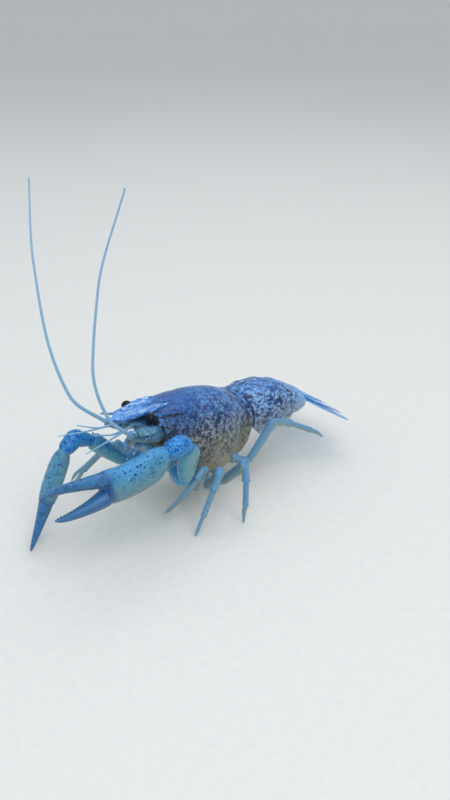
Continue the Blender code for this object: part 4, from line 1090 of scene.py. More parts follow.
def article(start, end, near, far, side, shape=ARTICLE, count=20, steps=26, cap=0.4):
    way = (end - start).normalized()
    rings = []
    for share in shares(steps):
        swell = profile(shape, share)
        height = (near[0] + (far[0] - near[0]) * share) * swell
        width = (near[1] + (far[1] - near[1]) * share) * swell
        rings.append(ellipse(start.lerp(end, share), way, side, height, width, count))
    return capped(rings, start=cap, end=cap)


def claw_tip(line, radii, side):
    """A tapered tip along a curved line, as one ring stack."""
    radii = [profile(radii, share) for share in shares(18)]
    rings = strung(smooth_path(line, 18), side, [(size, 0.85 * size) for size in radii], 14)
    return capped(rings, start=0.2, end=0.12)


# %% All eight legs
def leg_stacks(number, side):
    path = leg_path(number, side)
    k = LEG_SIZE[number]
    across = (path[-1] - path[0]).cross(UP).normalized()
    sizes = [[(k * h, k * w) for h, w in pair] for pair in LEG_SIZES]
    tubes = [article(a, b, *size, across) for a, b, size in zip(path[:4], path[1:5], sizes)]
    ankle, foot = path[-2], path[-1]
    way = (foot - ankle).normalized()
    off = way.cross(across).normalized()
    off = -off if off.z < 0 else off
    tip = ((0.0, 0.85 * k), (0.2, 0.8 * k), (0.7, 0.55 * k), (1.0, 0.3))
    low = foot + UP * 0.3
    if number not in PINCER_LEGS:
        tubes.append(claw_tip([ankle - way * 0.3, ankle.lerp(low, 0.5) + off * 0.3, low], tip, across))
    else:
        fixed = ((0.0, 0.78 * k), (0.3, 0.62 * k), (0.8, 0.42 * k), (1.0, 0.25))
        tubes.append(claw_tip([ankle - way * 0.6, ankle.lerp(low, 0.5) - off * 0.15, low], fixed, across))
        start = ankle - way * 1.2 + off * 0.35
        finger_end = ankle.lerp(foot, 0.97) + off * 1.25
        middle = start.lerp(finger_end, 0.55) + off * 0.45
        small = ((0.0, 0.5 * k), (0.5, 0.52 * k), (1.0, 0.22))
        tubes.append(claw_tip([start, middle, finger_end], small, across))
    return tubes[:2], tubes[2:]


for number, side in FEET:
    upper, lower = leg_stacks(number, side)
    name = f"leg_{number}_{dict(LEFT_AND_RIGHT)[side]}"
    piece(name + "_thigh", skin(name, upper), leg_cuticle, "limb", name + "_upper")
    piece(name + "_shin", skin(name, lower), leg_cuticle, "limb", name + "_lower")
print("legs:", len(FEET))

# %% [markdown]
# ## The claws
# The first pair of legs carries the big pincers. An arm of two tubes leads to a blue wrist with a bend in
# it, then a long palm that runs on into the fixed finger, and the movable finger on its hinge. Rings along
# the claw's own axis keep palm and fixed finger one surface, as they are one shell on the animal.

# %% Sizes of arm and claw
# The tables of palm and fingers hold a share of the length, half width, half thickness and shift.
CLAW_LENGTH = 36.0
ARM = {
    1: ((29.8, 13.1, 16.6), (29.7, 15.1, 27.2), (32.4, 14.8, 29.2), (36.2, 13.7, 28.0)),
    -1: ((32.5, -9.8, 13.6), (41.6, -11.4, 23.6), (47.2, -11.3, 26.6), (51.2, -11.0, 24.6)),
}
CLAW_WAY = {1: (0.985, -0.03, -0.075), -1: (0.465, -0.02, -0.885)}
CLAW_SIZE = {1: 1.0, -1: 0.75}
ARM_SIZE = {1: 1.0, -1: 0.85}
CLAW_BROAD = {1: (0.1, -0.1, 0.97), -1: (0.55, 0.75, 0.2)}
PALM_SHARE, FIXED_SHARE = 0.53, 0.88  # of the claw's length, and of the moving finger's
KNUCKLE_GAP, KNUCKLE_OFFSET = 0.5, 2.45
GAPE = math.radians(15)
PALM = (
    (0.0, 2.0, 2.1, 0.0), (0.07, 3.0, 2.8, -0.4), (0.22, 4.2, 3.4, -1.1), (0.45, 4.5, 3.6, -1.5),
    (0.7, 4.5, 3.6, -1.3), (0.9, 4.65, 3.3, -0.6), (1.0, 4.55, 3.0, -0.2),
)
FIXED_FINGER = (
    (0.012, 2.3, 2.6, -2.4), (0.14, 2.15, 2.25, -2.65), (0.35, 1.75, 1.8, -2.8),
    (0.6, 1.3, 1.3, -2.65), (0.82, 0.88, 0.9, -2.25), (0.94, 0.55, 0.58, -1.85),
    (1.0, 0.26, 0.26, -1.5),
)
MOVING_FINGER = (
    (0.0, 1.8, 2.2, 0.0), (0.12, 1.75, 2.05, -0.05), (0.35, 1.4, 1.65, 0.1), (0.6, 1.1, 1.25, 0.15),
    (0.82, 0.78, 0.85, -0.1), (0.94, 0.52, 0.55, -0.4), (1.0, 0.25, 0.25, -0.65),
)


def claw_axes(side):
    way = Vector(CLAW_WAY[side]).normalized()
    broad = Vector(CLAW_BROAD[side])
    return way, (broad - way * broad.dot(way)).normalized()


# %% Palm and fingers
CLAW_POINTS = 40


def claw_ring(centre, way, broad, wide, thick, ridge):
    """A ring across the claw. Ridge lifts its two faces into a low keel along the middle."""
    flat = way.cross(broad)
    ring = []
    for i in range(CLAW_POINTS):
        angle = 2 * math.pi * i / CLAW_POINTS
        b, f = math.cos(angle), math.sin(angle)
        keel = 1 + ridge * bell(b, 0.0, 0.28)
        point = centre + broad * (wide * b) + flat * (thick * f * keel)
        ring.append((point, 0.5 + 0.5 * (broad * b + flat * f).z))
    return ring


def claw_rings(start, way, broad, table, length, k, steps, ridge, first=0.0):
    rings = []
    for share in shares(steps, first, 1.0):
        wide, thick, shift = row_at(table, share)
        centre = start + way * (share * length) + broad * (k * shift)
        rings.append(claw_ring(centre, way, broad, k * wide, k * thick, ridge))
    return rings


def opened_axes(side):
    way, broad = claw_axes(side)
    turn = Matrix.Rotation(GAPE, 3, way.cross(broad))
    if (turn @ way).dot(broad) < 0:
        turn = Matrix.Rotation(-GAPE, 3, way.cross(broad))
    return turn @ way, turn @ broad


def claw_places(side):
    """The lengths of palm and finger, and where palm, fixed finger and moving finger start."""
    way, broad = claw_axes(side)
    k = CLAW_SIZE[side]
    palm_length = k * PALM_SHARE * CLAW_LENGTH
    start = Vector(ARM[side][-1]) + way * GAP
    knuckle = start + way * palm_length
    root = knuckle + way * KNUCKLE_GAP + broad * (KNUCKLE_OFFSET * k)
    return palm_length, k * CLAW_LENGTH - palm_length, start, knuckle, root


def claw_stacks(side):
    way, broad = claw_axes(side)
    k = CLAW_SIZE[side]
    palm_length, finger_length, start, knuckle, root = claw_places(side)
    palm = claw_rings(start, way, broad, PALM, palm_length, k, 46, 0.0)
    fixed_length = FIXED_SHARE * finger_length
    fixed = claw_rings(knuckle, way, broad, FIXED_FINGER, fixed_length, k, 42, 0.1, 0.06)
    shoulder = []
    for share in shares(7, 0.12, 0.88):
        ring = []
        for (wide, crown), (slim, _) in zip(palm[-1], fixed[0]):
            ahead = way * ((slim - wide).dot(way) * (share - share**2))
            ring.append((wide.lerp(slim, share**2) + ahead, crown))
        shoulder.append(ring)
    moving = claw_rings(root, *opened_axes(side), MOVING_FINGER, finger_length, k, 46, 0.1)
    palm = capped([*palm, *shoulder, *fixed], start=1.6 * k, end=0.25)
    return palm, capped(moving, start=1.7 * k, end=0.25)


# %% Arm and wrist
ARM_SIZES = (((2.3, 2.2), (2.3, 2.1)), ((2.2, 2.0), (2.9, 2.5)))
ARM_ARTICLE = (
    (0.0, 0.55), (0.04, 0.78), (0.14, 0.96), (0.5, 1.1), (0.8, 1.08), (0.94, 1.06), (1.0, 0.85)
)


# Share of the length, half height and half width.
WRIST = (
    (0.0, 1.6, 1.6),
    (0.1, 2.15, 2.1),
    (0.35, 2.7, 2.55),
    (0.6, 2.95, 2.75),
    (0.8, 2.75, 2.65),
    (0.93, 2.45, 2.4),
    (1.0, 2.0, 2.0),
)


def wrist_rings(path, side, k):
    """The bent wrist as one tube that swells in the middle."""
    line = [path[0], path[0].lerp(path[1], 0.6), path[1], path[1].lerp(path[2], 0.5), path[2]]
    line = smooth_path(line, 34)
    sizes = [[k * size for size in row_at(WRIST, share)] for share in shares(34)]
    return capped(strung(line, side, sizes, 36, reach=2), start=1.2 * k, end=0.8 * k)


for side, word in LEFT_AND_RIGHT:
    k = ARM_SIZE[side]
    path = [hip(1, side)[0], *(Vector(p) for p in ARM[side])]
    plane = (path[2] - path[1]).cross(path[3] - path[2]).normalized()
    sizes = [[(k * h, k * w) for h, w in pair] for pair in ARM_SIZES]
    tubes = zip(path[:2], path[1:3], sizes)
    arm = [article(a, b, *size, plane, ARM_ARTICLE, 32, 30, 1.0) for a, b, size in tubes]
    piece(f"arm_{word}", skin("arm", arm), arm_cuticle, "claw", f"cheliped_{word}_arm")
    wrist = skin("wrist", [wrist_rings(path[2:], plane, k)])
    piece(f"wrist_{word}", wrist, wrist_cuticle, "claw", f"cheliped_{word}_wrist")
    palm, moving = claw_stacks(side)
    piece(f"palm_{word}", skin("palm", [palm]), palm_cuticle, "claw", f"cheliped_{word}_palm")
    moving = skin("moving", [moving])
    piece(f"moving_finger_{word}", moving, finger_cuticle, "finger", f"cheliped_{word}_finger")
print("claws: 2")

# %% [markdown]
# ## The face
# The eyes are glossy black domes on short stalks in the hollow beside the beak. Below them stand the
# scales, two small leaf-shaped plates, and the stout bases of the long feelers. Between them lie the two
# short, forked feelers and the folded mouth limbs. All of them start on the shield's open front.

# %% Eyes
EYE_RADIUS = 1.5
EYE_CUT = 0.75
EYE_ROOT = (2.6, -3.6)
EYE_WAY = (0.9, 2.2, 0.7)
STALK_END = (34.0, 4.1, -2.5)
STALK_RADIUS = 1.05
STALK_SHAPE = ((0.0, 1.0), (0.5, 0.85), (0.85, 1.05), (1.0, 1.1))


def eye_glass():
    """The cornea: black pigment under a clear, smooth layer."""
    made, tree, where = new_finish("eye_cornea")
    cells = add(tree, "ShaderNodeTexVoronoi", {"Vector": where, "Scale": 1000.0 / 0.12})
    raised = add(tree, "ShaderNodeBump", {"Height": cells, "Strength": 0.15, "Distance": 0.01 * MM})
    tint = ramp(tree, cells, ((0.0, "#02030C"), (1.0, "#060A1E")))
    sockets = {"Base Color": tint, "Roughness": 0.12, "Normal": raised, "IOR": 1.36}
    close_finish(tree, sockets)
    return made


eye_cornea = eye_glass()
for side, word in LEFT_AND_RIGHT:
    start = on_face(side * EYE_ROOT[0], EYE_ROOT[1])
    end = stand(mirrored(STALK_END, side))
    way = (stand(mirrored(EYE_WAY, side)) - stand(Vector())).normalized()
    line = smooth_path([start - face_normal() * 0.8, start.lerp(end, 0.5), end], 14)
    stalk = []
    for i, point in enumerate(line):
        step = way_at(line, i).lerp(way, i / 13).normalized()
        size = STALK_RADIUS * profile(STALK_SHAPE, i / 13)
        stalk.append(ellipse(point, step, UP, size, size, 20))
    stalk = skin("stalk", [capped(stalk, end=0.4)])
    piece(f"stalk_{word}", stalk, face_cuticle, "shell", f"eye_stalk_{word}")
    centre = end + way * (GAP + EYE_CUT)
    globe = []
    for angle in shares(20, math.asin(-EYE_CUT / EYE_RADIUS), math.radians(88)):
        height = math.sin(angle)
        radius = EYE_RADIUS * math.sqrt(1 - height * height)
        globe.append(ellipse(centre + way * (height * EYE_RADIUS), way, UP, radius, radius, 32))
    globe.insert(0, ellipse(centre - way * 1.1, way, UP, 0.95, 0.95, 32))
    piece(f"cornea_{word}", skin("eye", [globe]), eye_cornea, "eye", f"eye_{word}")
print("eyes: 2")


# %% Feeler bases, scales and mouth limbs
def tube(points, radii, side, count, steps, flat=1.0):
    line = smooth_path(points, steps)
    marks = [(i / (len(radii) - 1), radius) for i, radius in enumerate(radii)]
    sizes = [(profile(marks, share) * flat, profile(marks, share)) for share in shares(steps)]
    return capped(strung(line, side, sizes, count), start=0.4, end=0.3)


FEELER_BASE_LINE = ((35.2, 4.6, -7.0), (36.6, 4.7, -6.8), (38.2, 4.8, -6.5), (40.6, 4.9, -6.0))
ANTENNULE_STEM_LINE = ((35.4, 1.6, -5.3), (38.0, 1.8, -4.8))
SCALE = (
    (0.0, 0.75, 0.42, 0.0), (0.15, 1.1, 0.42, 0.1), (0.4, 1.7, 0.38, 0.25), (0.7, 1.6, 0.34, 0.15),
    (0.9, 0.9, 0.3, -0.35), (1.0, 0.3, 0.26, -0.8),
)
SCALE_LENGTH = 9.5
SCALE_ROOT, SCALE_TIP = (5.7, -4.95), (43.0, 8.0, -4.5)
MAXILLIPED_LINE = (
    (25.6, 2.1, -16.6), (27.4, 2.2, -15.4), (30.2, 2.2, -13.0), (33.0, 2.0, -11.0),
    (34.4, 1.9, -10.6), (35.4, 1.9, -11.6), (35.6, 1.8, -13.4),
)


def scale_plate(side):
    start = on_face(side * SCALE_ROOT[0], SCALE_ROOT[1])
    tip = stand(mirrored(SCALE_TIP, side))
    way = (tip - start).normalized()
    broad = Vector((0, -side, 0)) + UP * 0.25
    broad = (broad - way * broad.dot(way)).normalized()
    rings = []
    for share in shares(26):
        wide, thick, shift = row_at(SCALE, share)
        centre = start + way * (share * SCALE_LENGTH) + broad * shift
        rings.append(ellipse(centre, way, broad, thick, wide, 20))
    edge = []
    for share in shares(18, 0.3, 0.97):
        wide, _, shift = row_at(SCALE, share)
        spot = start + way * (share * SCALE_LENGTH) + broad * (shift + wide)
        edge.append((spot, (way + broad * 0.7).normalized()))
    return capped(rings, start=0.3, end=0.15), edge


scale_edges = []
for side, word in LEFT_AND_RIGHT:
    base = [on_face(side * 4.4, -6.9, -0.4), *on_side(FEELER_BASE_LINE, side)]
    first = tube(base[:3], (1.75, 1.95, 1.85), UP, 26, 14)
    second = tube([base[2].lerp(base[1], 0.3), base[3]], (1.35, 1.55, 1.6), UP, 26, 10)
    third = tube([base[3].lerp(base[2], 0.2), base[4]], (1.1, 1.35, 1.25), UP, 26, 12)
    stout = skin("base", [first, second, third])
    piece(f"feeler_base_{word}", stout, face_cuticle, "limb", f"antenna_base_{word}")
    plate, edge = scale_plate(side)
    scale_edges.append(edge)
    piece(f"scale_{word}", skin("scale", [plate]), face_cuticle, "limb", f"antennal_scale_{word}")
    line = on_side(MAXILLIPED_LINE, side)
    limb = tube(line, (1.1, 1.45, 1.5, 1.2, 1.0, 0.85, 0.35), Vector((0, 1, 0)), 20, 40, flat=0.8)
    piece(f"mouth_limb_{word}", skin("mouth_limb", [limb]), face_cuticle, "limb", f"maxilliped_{word}")
print("face pieces:", 3 * 2)

# %% [markdown]
# ## Ringed feelers with Geometry Nodes
# A feeler is a whip of hundreds of tiny rings. Modelling them by hand would be slow and even, while a node
# tree can put them along any line: it resamples the line once for each ring edge, widens every second
# point, and sweeps a circle along it. The tree's named inputs set the ring length and how deep they cut.

# %% The feeler tree
def new_tree(name, sockets):
    tree = bpy.data.node_groups.new(name, "GeometryNodeTree")
    tree.interface.new_socket(name="Geometry", in_out="INPUT", socket_type="NodeSocketGeometry")
    for label, kind, value in sockets:
        made = tree.interface.new_socket(name=label, in_out="INPUT", socket_type=kind)
        if value is not None:
            made.default_value = value
    tree.interface.new_socket(name="Geometry", in_out="OUTPUT", socket_type="NodeSocketGeometry")
    return tree, tree.nodes.new("NodeGroupInput").outputs


def named(tree, name, kind="FLOAT"):
    return add(tree, "GeometryNodeInputNamedAttribute", {"Name": name}, data_type=kind)


def points_along(tree, given, step):
    line = add(tree, "GeometryNodeMeshToCurve", {"Mesh": given["Geometry"]})
    return add(tree, "GeometryNodeResampleCurve", {"Curve": line, "Length": given[step]}, mode="LENGTH")


def close_tree(tree, shape, finish_socket):
    smooth = add(tree, "GeometryNodeSetShadeSmooth", {0: shape})
    real = add(tree, "GeometryNodeRealizeInstances", {"Geometry": smooth})
    painted = add(tree, "GeometryNodeSetMaterial", {"Geometry": real, "Material": finish_socket})
    add(tree, "NodeGroupOutput", {"Geometry": painted})
    return tree


def feeler_tree():
    sizes = (("Ring length", "NodeSocketFloat", 0.0004), ("Ring depth", "NodeSocketFloat", 0.12))
    tree, given = new_tree("ringed_feeler", (*sizes, ("Finish", "NodeSocketMaterial", None)))
    points = points_along(tree, given, "Ring length")
    size = named(tree, "size")
    index = add(tree, "GeometryNodeInputIndex")
    odd = maths(tree, "MODULO", index, 2.0)
    cut = maths(tree, "MULTIPLY", odd, given["Ring depth"])
    left = maths(tree, "SUBTRACT", 1.0, cut)
    radius = maths(tree, "MULTIPLY", size, left)
    circle = add(tree, "GeometryNodeCurvePrimitiveCircle", {"Resolution": 10, "Radius": 1.0})
    sweep = {"Curve": points, "Profile Curve": circle, "Scale": radius, "Fill Caps": True}
    swept = add(tree, "GeometryNodeCurveToMesh", sweep)
    return close_tree(tree, swept, given["Finish"])


# %% Running a tree on guide lines
def guides(name, lines):
    """Loose polylines. Each point carries a size and the way that something grows from it."""
    points, edges, ways, sizes = [], [], [], []
    for line in lines:
        for i, (point, way, size) in enumerate(line):
            if i:
                edges.append((len(points) - 1, len(points)))
            points.append((point - ORIGIN) * MM)
            ways += list(way)
            sizes.append(size * MM)
    mesh = bpy.data.meshes.new(name)
    mesh.from_pydata(points, edges, [])
    mesh.attributes.new("way", "FLOAT_VECTOR", "POINT").data.foreach_set("vector", ways)
    mesh.attributes.new("size", "FLOAT", "POINT").data.foreach_set("value", sizes)
    return mesh


def grown(name, mesh, tree, values):
    """Runs a node tree on a mesh and gives its result back as a plain mesh."""
    holder = linked(name, mesh)
    modifier = holder.modifiers.new("grow", "NODES")
    modifier.node_group = tree
    for item in tree.interface.items_tree:
        if item.in_out == "INPUT" and item.name in values:
            modifier[item.identifier] = values[item.name]
    ready = bpy.context.evaluated_depsgraph_get()
    result = bpy.data.meshes.new_from_object(holder.evaluated_get(ready), depsgraph=ready)
    bpy.data.objects.remove(holder, do_unlink=True)
    return result


# %% The long and the short feelers
ANTENNA_LENGTH = 72.0
WHIP_RADIUS, WHIP_TIP = 0.62, 0.22
FORK_RADIUS, FORK_TIP = 0.42, 0.15
ANTENNA_BEND = {
    1: ((0.0, 0.0, 0.0), (0.10, 0.015, 0.12), (0.16, 0.04, 0.34), (0.15, 0.09, 0.62), (0.08, 0.16, 0.92)),
    -1: (
        (0.0, 0.0, 0.0), (0.12, -0.04, 0.14), (0.155, -0.09, 0.36), (0.13, -0.16, 0.60),
        (0.05, -0.26, 0.86),
    ),
}
feelers = feeler_tree()
for side, word in LEFT_AND_RIGHT:
    base = on_side(FEELER_BASE_LINE, side)
    way = (base[-1] - base[-2]).normalized()
    root = base[-1] + way * GAP
    line = smooth_path([root + Vector(p) * ANTENNA_LENGTH for p in ANTENNA_BEND[side]], 120)
    line[0] = root - way * 0.5
    thinner = WHIP_RADIUS - WHIP_TIP
    whip = [(point, way, WHIP_RADIUS - thinner * (i / 119) ** 0.8) for i, point in enumerate(line)]
    values = {"Ring length": 0.35 * MM, "Ring depth": 0.14, "Finish": feeler_cuticle}
    whip = grown("whip", guides("whip", [whip]), feelers, values)
    piece(f"long_feeler_{word}", whip, feeler_cuticle, "feeler", f"antenna_{word}")
    stem = [on_face(side * 1.45, -5.6, -0.4), *on_side(ANTENNULE_STEM_LINE, side)]
    start = stem[-1] - (stem[-1] - stem[-2]).normalized() * 0.6
    forks = []
    for reach, spread, lift in ((18.0, 4.2, 1.0), (14.0, 1.6, 3.6)):
        middle = start + Vector((0.45 * reach, side * 0.4 * spread, 0.1 * lift))
        branch = smooth_path([start, middle, start + Vector((reach, side * spread, lift))], 40)
        thinner = FORK_RADIUS - FORK_TIP
        forks.append([(point, way, FORK_RADIUS - thinner * i / 39) for i, point in enumerate(branch)])
    values = {"Ring length": 0.3 * MM, "Ring depth": 0.16, "Finish": feeler_cuticle}
    lower = tube(stem[:2], (0.85, 0.95, 0.9), UP, 18, 10)
    upper = tube([stem[1].lerp(stem[0], 0.1), stem[2]], (0.7, 0.8, 0.7), UP, 18, 10)
    piece(f"short_feeler_stem_{word}", skin("stem", [lower, upper]), face_cuticle, "feeler")
    forks = grown("forks", guides("forks", forks), feelers, values)
    piece(f"short_feelers_{word}", forks, feeler_cuticle, "feeler", f"antennule_{word}")
print("feelers: 2 long, 4 short")

# %% [markdown]
# ## Bristles, teeth and bumps with Geometry Nodes
# The edges of the fan, the scales and the mouth limbs carry fringes of stiff hairs, the fingers have a row
# of blunt teeth, arm and wrist have spines, and arm, wrist and palm are studded with small bumps. Each kind
# repeats one tiny shape many times, which is what instances are for. The row trees set hairs, teeth or
# spines along guide lines, and the last tree scatters bumps over a surface. All end as real mesh, because
# an export would drop the instances.

# %% The row trees
GROWTH = (
    ("Spacing", "NodeSocketFloat", 0.0003),
    ("Length", "NodeSocketFloat", 0.001),
    ("Thickness", "NodeSocketFloat", 0.00004),
    ("Unevenness", "NodeSocketFloat", 0.25),
    ("Seed", "NodeSocketInt", 3),
    ("Finish", "NodeSocketMaterial", None),
)


def uneven_size(tree, given, size, least, most):
    sockets = {2: least, 3: most, "Seed": given["Seed"]}
    some = add(tree, "FunctionNodeRandomValue", sockets, give=1, data_type="FLOAT")
    return maths(tree, "MULTIPLY", given[size], some)


def placed(tree, given, points, shape, turn, wide, tall):
    scale = add(tree, "ShaderNodeCombineXYZ", {"X": wide, "Y": wide, "Z": tall})
    sockets = {"Points": points, "Instance": shape, "Rotation": turn, "Scale": scale}
    return close_tree(tree, add(tree, "GeometryNodeInstanceOnPoints", sockets), given["Finish"])


def put_along(tree, given, points, way, shape):
    """Sets one shape on every point, turned along its way, with uneven length and aim."""
    low = maths(tree, "SUBTRACT", 0.0, given["Unevenness"])
    spread = {"Min": low, "Max": given["Unevenness"], "Seed": given["Seed"]}
    jitter = add(tree, "FunctionNodeRandomValue", spread, data_type="FLOAT_VECTOR")
    aimed = add(tree, "ShaderNodeVectorMath", {0: way, 1: jitter}, operation="ADD")
    turn = add(tree, "FunctionNodeAlignRotationToVector", {"Vector": aimed}, axis="Z")
    high = uneven_size(tree, given, "Length", 0.7, 1.15)
    return placed(tree, given, points, shape, turn, given["Thickness"], high)


def row_tree(name, kind):
    tree, given = new_tree(name, GROWTH)
    points = points_along(tree, given, "Spacing")
    way = named(tree, "way", "FLOAT_VECTOR")
    if kind == "tooth":
        shape = add(tree, "GeometryNodeMeshUVSphere", {"Segments": 10, "Rings": 6, "Radius": 1.0})
    else:
        cone = {"Vertices": 3 if kind == "hair" else 10, "Side Segments": 2, "Depth": 1.0}
        cone |= {"Radius Top": 0.12, "Radius Bottom": 1.0}
        shape = add(tree, "GeometryNodeMeshCone", cone)
    return put_along(tree, given, points, way, shape)


hair_row, tooth_row, spine_row = (row_tree(kind + "_row", kind) for kind in ("hair", "tooth", "spine"))


def scatter_tree():
    """Small bumps all over a shell, above a given crown, each standing off its own spot of the surface."""
    sizes = (
        ("Spacing", "NodeSocketFloat", 0.0009),
        ("Size", "NodeSocketFloat", 0.00017),
        ("Flatness", "NodeSocketFloat", 0.7),
        ("Lowest crown", "NodeSocketFloat", 0.3),
        ("Furthest along", "NodeSocketFloat", 1.0),
        ("Seed", "NodeSocketInt", 4),
        ("Finish", "NodeSocketMaterial", None),
    )
    tree, given = new_tree("bump_scatter", sizes)
    crown = named(tree, "crown")
    high = maths(tree, "GREATER_THAN", crown, given["Lowest crown"])
    along = named(tree, "along")
    behind = maths(tree, "LESS_THAN", along, given["Furthest along"])
    there = maths(tree, "MULTIPLY", high, behind)
    square = maths(tree, "MULTIPLY", given["Spacing"], given["Spacing"])
    most = maths(tree, "DIVIDE", 1.2, square)
    spread = {"Mesh": given["Geometry"], "Selection": there, "Seed": given["Seed"]}
    spread |= {"Distance Min": given["Spacing"], "Density Max": most}
    points = add(tree, "GeometryNodeDistributePointsOnFaces", spread, distribute_method="POISSON")
    wide = uneven_size(tree, given, "Size", 0.5, 1.1)
    tall = maths(tree, "MULTIPLY", wide, given["Flatness"])
    bump = add(tree, "GeometryNodeMeshUVSphere", {"Segments": 8, "Rings": 5, "Radius": 1.0})
    return placed(tree, given, points, bump, points.node.outputs["Rotation"], wide, tall)


bump_scatter = scatter_tree()
print("trees:", [tree.name for tree in bpy.data.node_groups if tree.bl_idname == "GeometryNodeTree"])

# %% Rows of hairs
def row_of(name, lines, tree, finish, slot, spacing, length, thickness, uneven=0.12, seed=5):
    """Grows one row of hairs, teeth or spines on each guide line. The sizes are in millimetres."""
    values = {"Spacing": spacing * MM, "Length": length * MM, "Thickness": thickness * MM}
    values |= {"Unevenness": uneven, "Seed": seed, "Finish": finish}
    sized = [[(*spot, 1.0)[:3] for spot in line] for line in lines]
    made = piece(name, grown(name, guides(name, sized), tree, values), finish, slot)
    print(name, len(made.data.polygons))


LOBE_POINT = 4  # the point of a tail plate's ring that is the lowest


def lobe_lines(index):
    """The lower edge of both side lobes of a tail plate."""
    rings = segment_rings(index)[:TAIL_RINGS]
    way = Vector((-0.4, 0, -1))
    return [[(ring[spot][0], way) for ring in rings] for spot in (LOBE_POINT, -LOBE_POINT)]


def shin_lines(number, side):
    path = leg_path(number, side)
    across = (path[-1] - path[0]).cross(UP).normalized()
    lines = []
    for start, end, size in zip(path[2:5], path[3:6], (1.05, 0.85, 0.5)):
        way = (end - start).normalized()
        off = way.cross(across).normalized()
        for outward in (off, -off, across):
            off_middle = outward * (0.8 * size * LEG_SIZE[number])
            spots = [start.lerp(end, share) + off_middle for share in shares(8, 0.15, 0.9)]
            lines.append([(spot, (outward + way * 0.9).normalized()) for spot in spots])
    return lines


def mouth_lines(side):
    line = smooth_path(on_side(MAXILLIPED_LINE, side), 40)
    roots = [p + Vector((0.3, -side * 0.9, 0)) for p in line[4:]]
    return [[(p, Vector((0.5, -side * 0.8, down))) for p in roots] for down in (-0.5, 0.2)]


lobes = [line for index in range(1, 6) for line in lobe_lines(index)]
shins = [line for key in FEET for line in shin_lines(*key)]
# Sizes are spacing, length and thickness, and at times unevenness and seed.
for name, lines, slot, *sizes in (
    ("fan_bristles", fan_edges, "tail", 0.2, 1.2, 0.05),
    ("scale_bristles", scale_edges, "limb", 0.25, 1.4, 0.045, 0.12, 7),
    ("lobe_hairs", lobes, "tail", 0.2, 0.55, 0.03, 0.12, 8),
    ("leg_hairs", shins, "limb", 0.4, 0.5, 0.022, 0.3),
    ("mouth_hairs", mouth_lines(1) + mouth_lines(-1), "limb", 0.15, 1.1, 0.03, 0.2),
):
    row_of(name, lines, hair_row, bristle_chitin, slot, *sizes)


# %% Teeth of the fingers
def tooth_lines(side):
    k = CLAW_SIZE[side]
    _, finger_length, _, knuckle, root = claw_places(side)
    lines = []
    for start, axes, table, length, inward in (
        (knuckle, claw_axes(side), FIXED_FINGER, FIXED_SHARE * finger_length, 1),
        (root, opened_axes(side), MOVING_FINGER, finger_length, -1),
    ):
        line = []
        for share in shares(22, 0.12, 0.95):
            wide, _, shift = row_at(table, share)
            point = start + axes[0] * (share * length) + axes[1] * (k * (shift + inward * 0.97 * wide))
            line.append((point, axes[1] * inward, 1.0))
        lines.append(line)
    return lines


teeth = [line for side in (1, -1) for line in tooth_lines(side)]
row_of("finger_teeth", teeth, tooth_row, finger_cuticle, "finger", 0.85, 0.34, 0.3, 0.05, 9)


# %% Spines and bumps of the claws
def spine_lines(side):
    """A row along the arm's upper edge and two along the wrist's inner side."""
    path = [Vector(p) for p in ARM[side]]
    k = ARM_SIZE[side]
    plane = (path[1] - path[0]).cross(path[2] - path[1]).normalized()
    lines = []
    for start, end, turn, reach, first in (
        (path[0], path[1], -60, 2.2, 0.45),
        (path[0], path[1], 20, 2.2, 0.55),
        (path[1], path[2], -50, 2.6, 0.2),
        (path[2], path[3], -75, 2.55, 0.1),
        (path[2], path[3], 15, 2.65, 0.0),
    ):
        way = (end - start).normalized()
        flat = (plane - way * plane.dot(way)).normalized()
        off = Matrix.Rotation(math.radians(side * turn), 3, way) @ flat
        spots = [start.lerp(end, share) + off * (k * reach) for share in shares(4, first, 0.95)]
        lines.append([(spot, (off + way * 0.8).normalized()) for spot in spots])
    return lines


spines = spine_lines(1) + spine_lines(-1)
row_of("claw_spines", spines, spine_row, wrist_cuticle, "claw", 1.6, 0.9, 0.28, 0.1, 3)
# Spacing, size, lowest crown and furthest share along the piece.
BUMPS = {"palm": (0.8, 0.18, 0.35, 0.48), "wrist": (0.75, 0.22, 0.2, 1.0), "arm": (1.1, 0.13, 0.3, 1.0)}
for _, word in LEFT_AND_RIGHT:
    for part, (spacing, size, lowest, furthest) in BUMPS.items():
        values = {"Spacing": spacing * MM, "Size": size * MM, "Finish": bump_cuticle}
        values |= {"Lowest crown": lowest, "Furthest along": furthest}
        bumps = grown("bumps", bpy.data.objects[f"{part}_{word}"].data.copy(), bump_scatter, values)
        piece(f"{part}_bumps_{word}", bumps, bump_cuticle, "claw")
        print(part, word, "bumps:", len(bumps.polygons) // 40)


# %% Beads along the neck groove
BEADS_AT = 0.965  # as a share of the way to the groove
BEADS_FROM, BEADS_TO = 0.42, 0.8  # crowns


def neck_lines():
    """Just behind the groove, on both flanks, from the shoulder down to the gills."""
    ring = shell_ring(BEADS_AT)
    lines = []
    for side in (1, -1):
        spots = [(p, crown) for p, crown in ring if side * p.y > 0 and BEADS_FROM < crown < BEADS_TO]
        spots.sort(key=lambda spot: spot[1])
        lines.append([(stand(p), Vector((0, side * 0.8, 0.6))) for p, _ in spots])
    return lines


row_of("neck_beads", neck_lines(), tooth_row, bump_cuticle, "shell", 0.62, 0.16, 0.16, 0.45, 6)

# %% [markdown]
# ## Floor, light and camera
# A museum photographs such a model on a pale sweep under large soft lamps, so that gloss shows as broad
# highlights and no hard shadow hides the legs. The floor curves up behind the model. The camera looks down
# from the animal's left front, as near as the animal was seen, which gives the same foreshortening.


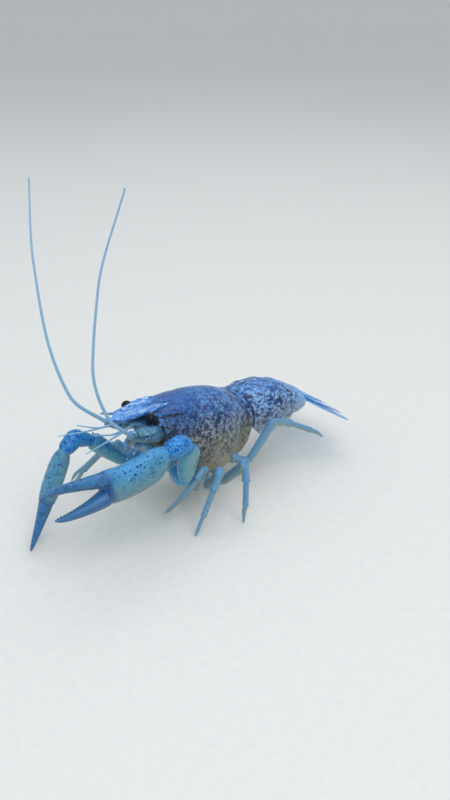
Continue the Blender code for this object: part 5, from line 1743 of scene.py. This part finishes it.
# %% Sweep and lamps
def plain_finish(name, code, roughness):
    made, tree, where = new_finish(name)
    fleck = add(tree, "ShaderNodeTexNoise", {"Vector": where, "Scale": 400.0, "Detail": 3.0})
    tone = ramp(tree, fleck, ((0.3, code), (0.7, "#F4F3F0")))
    close_finish(tree, {"Base Color": tone, "Roughness": roughness})
    return made


paper = plain_finish("studio_paper", "#F0F0EE", 0.9)
SWEEP = (
    (0.0, 0.0), (1.5, 0.0), (1.7, 0.02), (1.9, 0.08), (2.1, 0.2), (2.3, 0.4), (2.44, 0.7), (2.5, 1.2)
)
SWEEP_SIDES = 64
floor_shape = bmesh.new()
centre = floor_shape.verts.new((0, 0, 0))
before = None
for radius, height in SWEEP[1:]:
    turns = [2 * math.pi * i / SWEEP_SIDES for i in range(SWEEP_SIDES)]
    corners = [(radius * math.cos(a), radius * math.sin(a), height) for a in turns]
    ring = [floor_shape.verts.new(corner) for corner in corners]
    for i in range(SWEEP_SIDES):
        follow = (i + 1) % SWEEP_SIDES
        inner = (before[i], before[follow]) if before else (centre,)
        floor_shape.faces.new((*inner, ring[follow], ring[i]))
    before = ring
floor_mesh = plain_mesh(floor_shape, "floor")
floor_mesh.materials.append(paper)
linked("floor", floor_mesh)


def lamp(name, spot, target, size, power, tint="#FFFFFF"):
    light = bpy.data.lights.new(name, "AREA")
    light.size = size
    light.energy = power
    light.color = linear(tint)[:3]
    made = linked(name, light)
    made.location = spot
    made.rotation_euler = (Vector(target) - Vector(spot)).to_track_quat("-Z", "Y").to_euler()


heart = (0.0, 0.0, 0.025)
lamp("key", (0.15, 0.35, 0.55), heart, 0.45, 1.4)
lamp("fill", (0.5, -0.3, 0.3), heart, 0.5, 0.3, "#EAF4FF")
lamp("top", (-0.2, -0.1, 0.6), heart, 0.5, 0.75)
world = bpy.data.worlds.new("studio")
world.use_nodes = True
sky = world.node_tree.nodes["Background"].inputs
sky["Color"].default_value = linear("#E9F1F7")
sky["Strength"].default_value = 0.62
bpy.context.scene.world = world
print("lamps: 3")

# %% Camera
CAMERA_AT = Vector((132.69, 150.89, 136.8)) * MM
CAMERA_WAY = Vector((-0.6243, -0.6243, -0.4695))
camera_data = bpy.data.cameras.new("camera")
camera_data.sensor_fit = "VERTICAL"
camera_data.sensor_height = 36.0  # as tall as the lens is long, a view of 53 degrees
camera_data.lens = 36.0
camera_data.clip_start = 0.005
camera = linked("camera", camera_data)
camera.location = CAMERA_AT
camera.rotation_euler = CAMERA_WAY.to_track_quat("-Z", "Y").to_euler()
bpy.context.scene.camera = camera
bpy.context.scene.view_settings.view_transform = "Standard"
print("camera at", [round(v, 4) for v in camera.location])
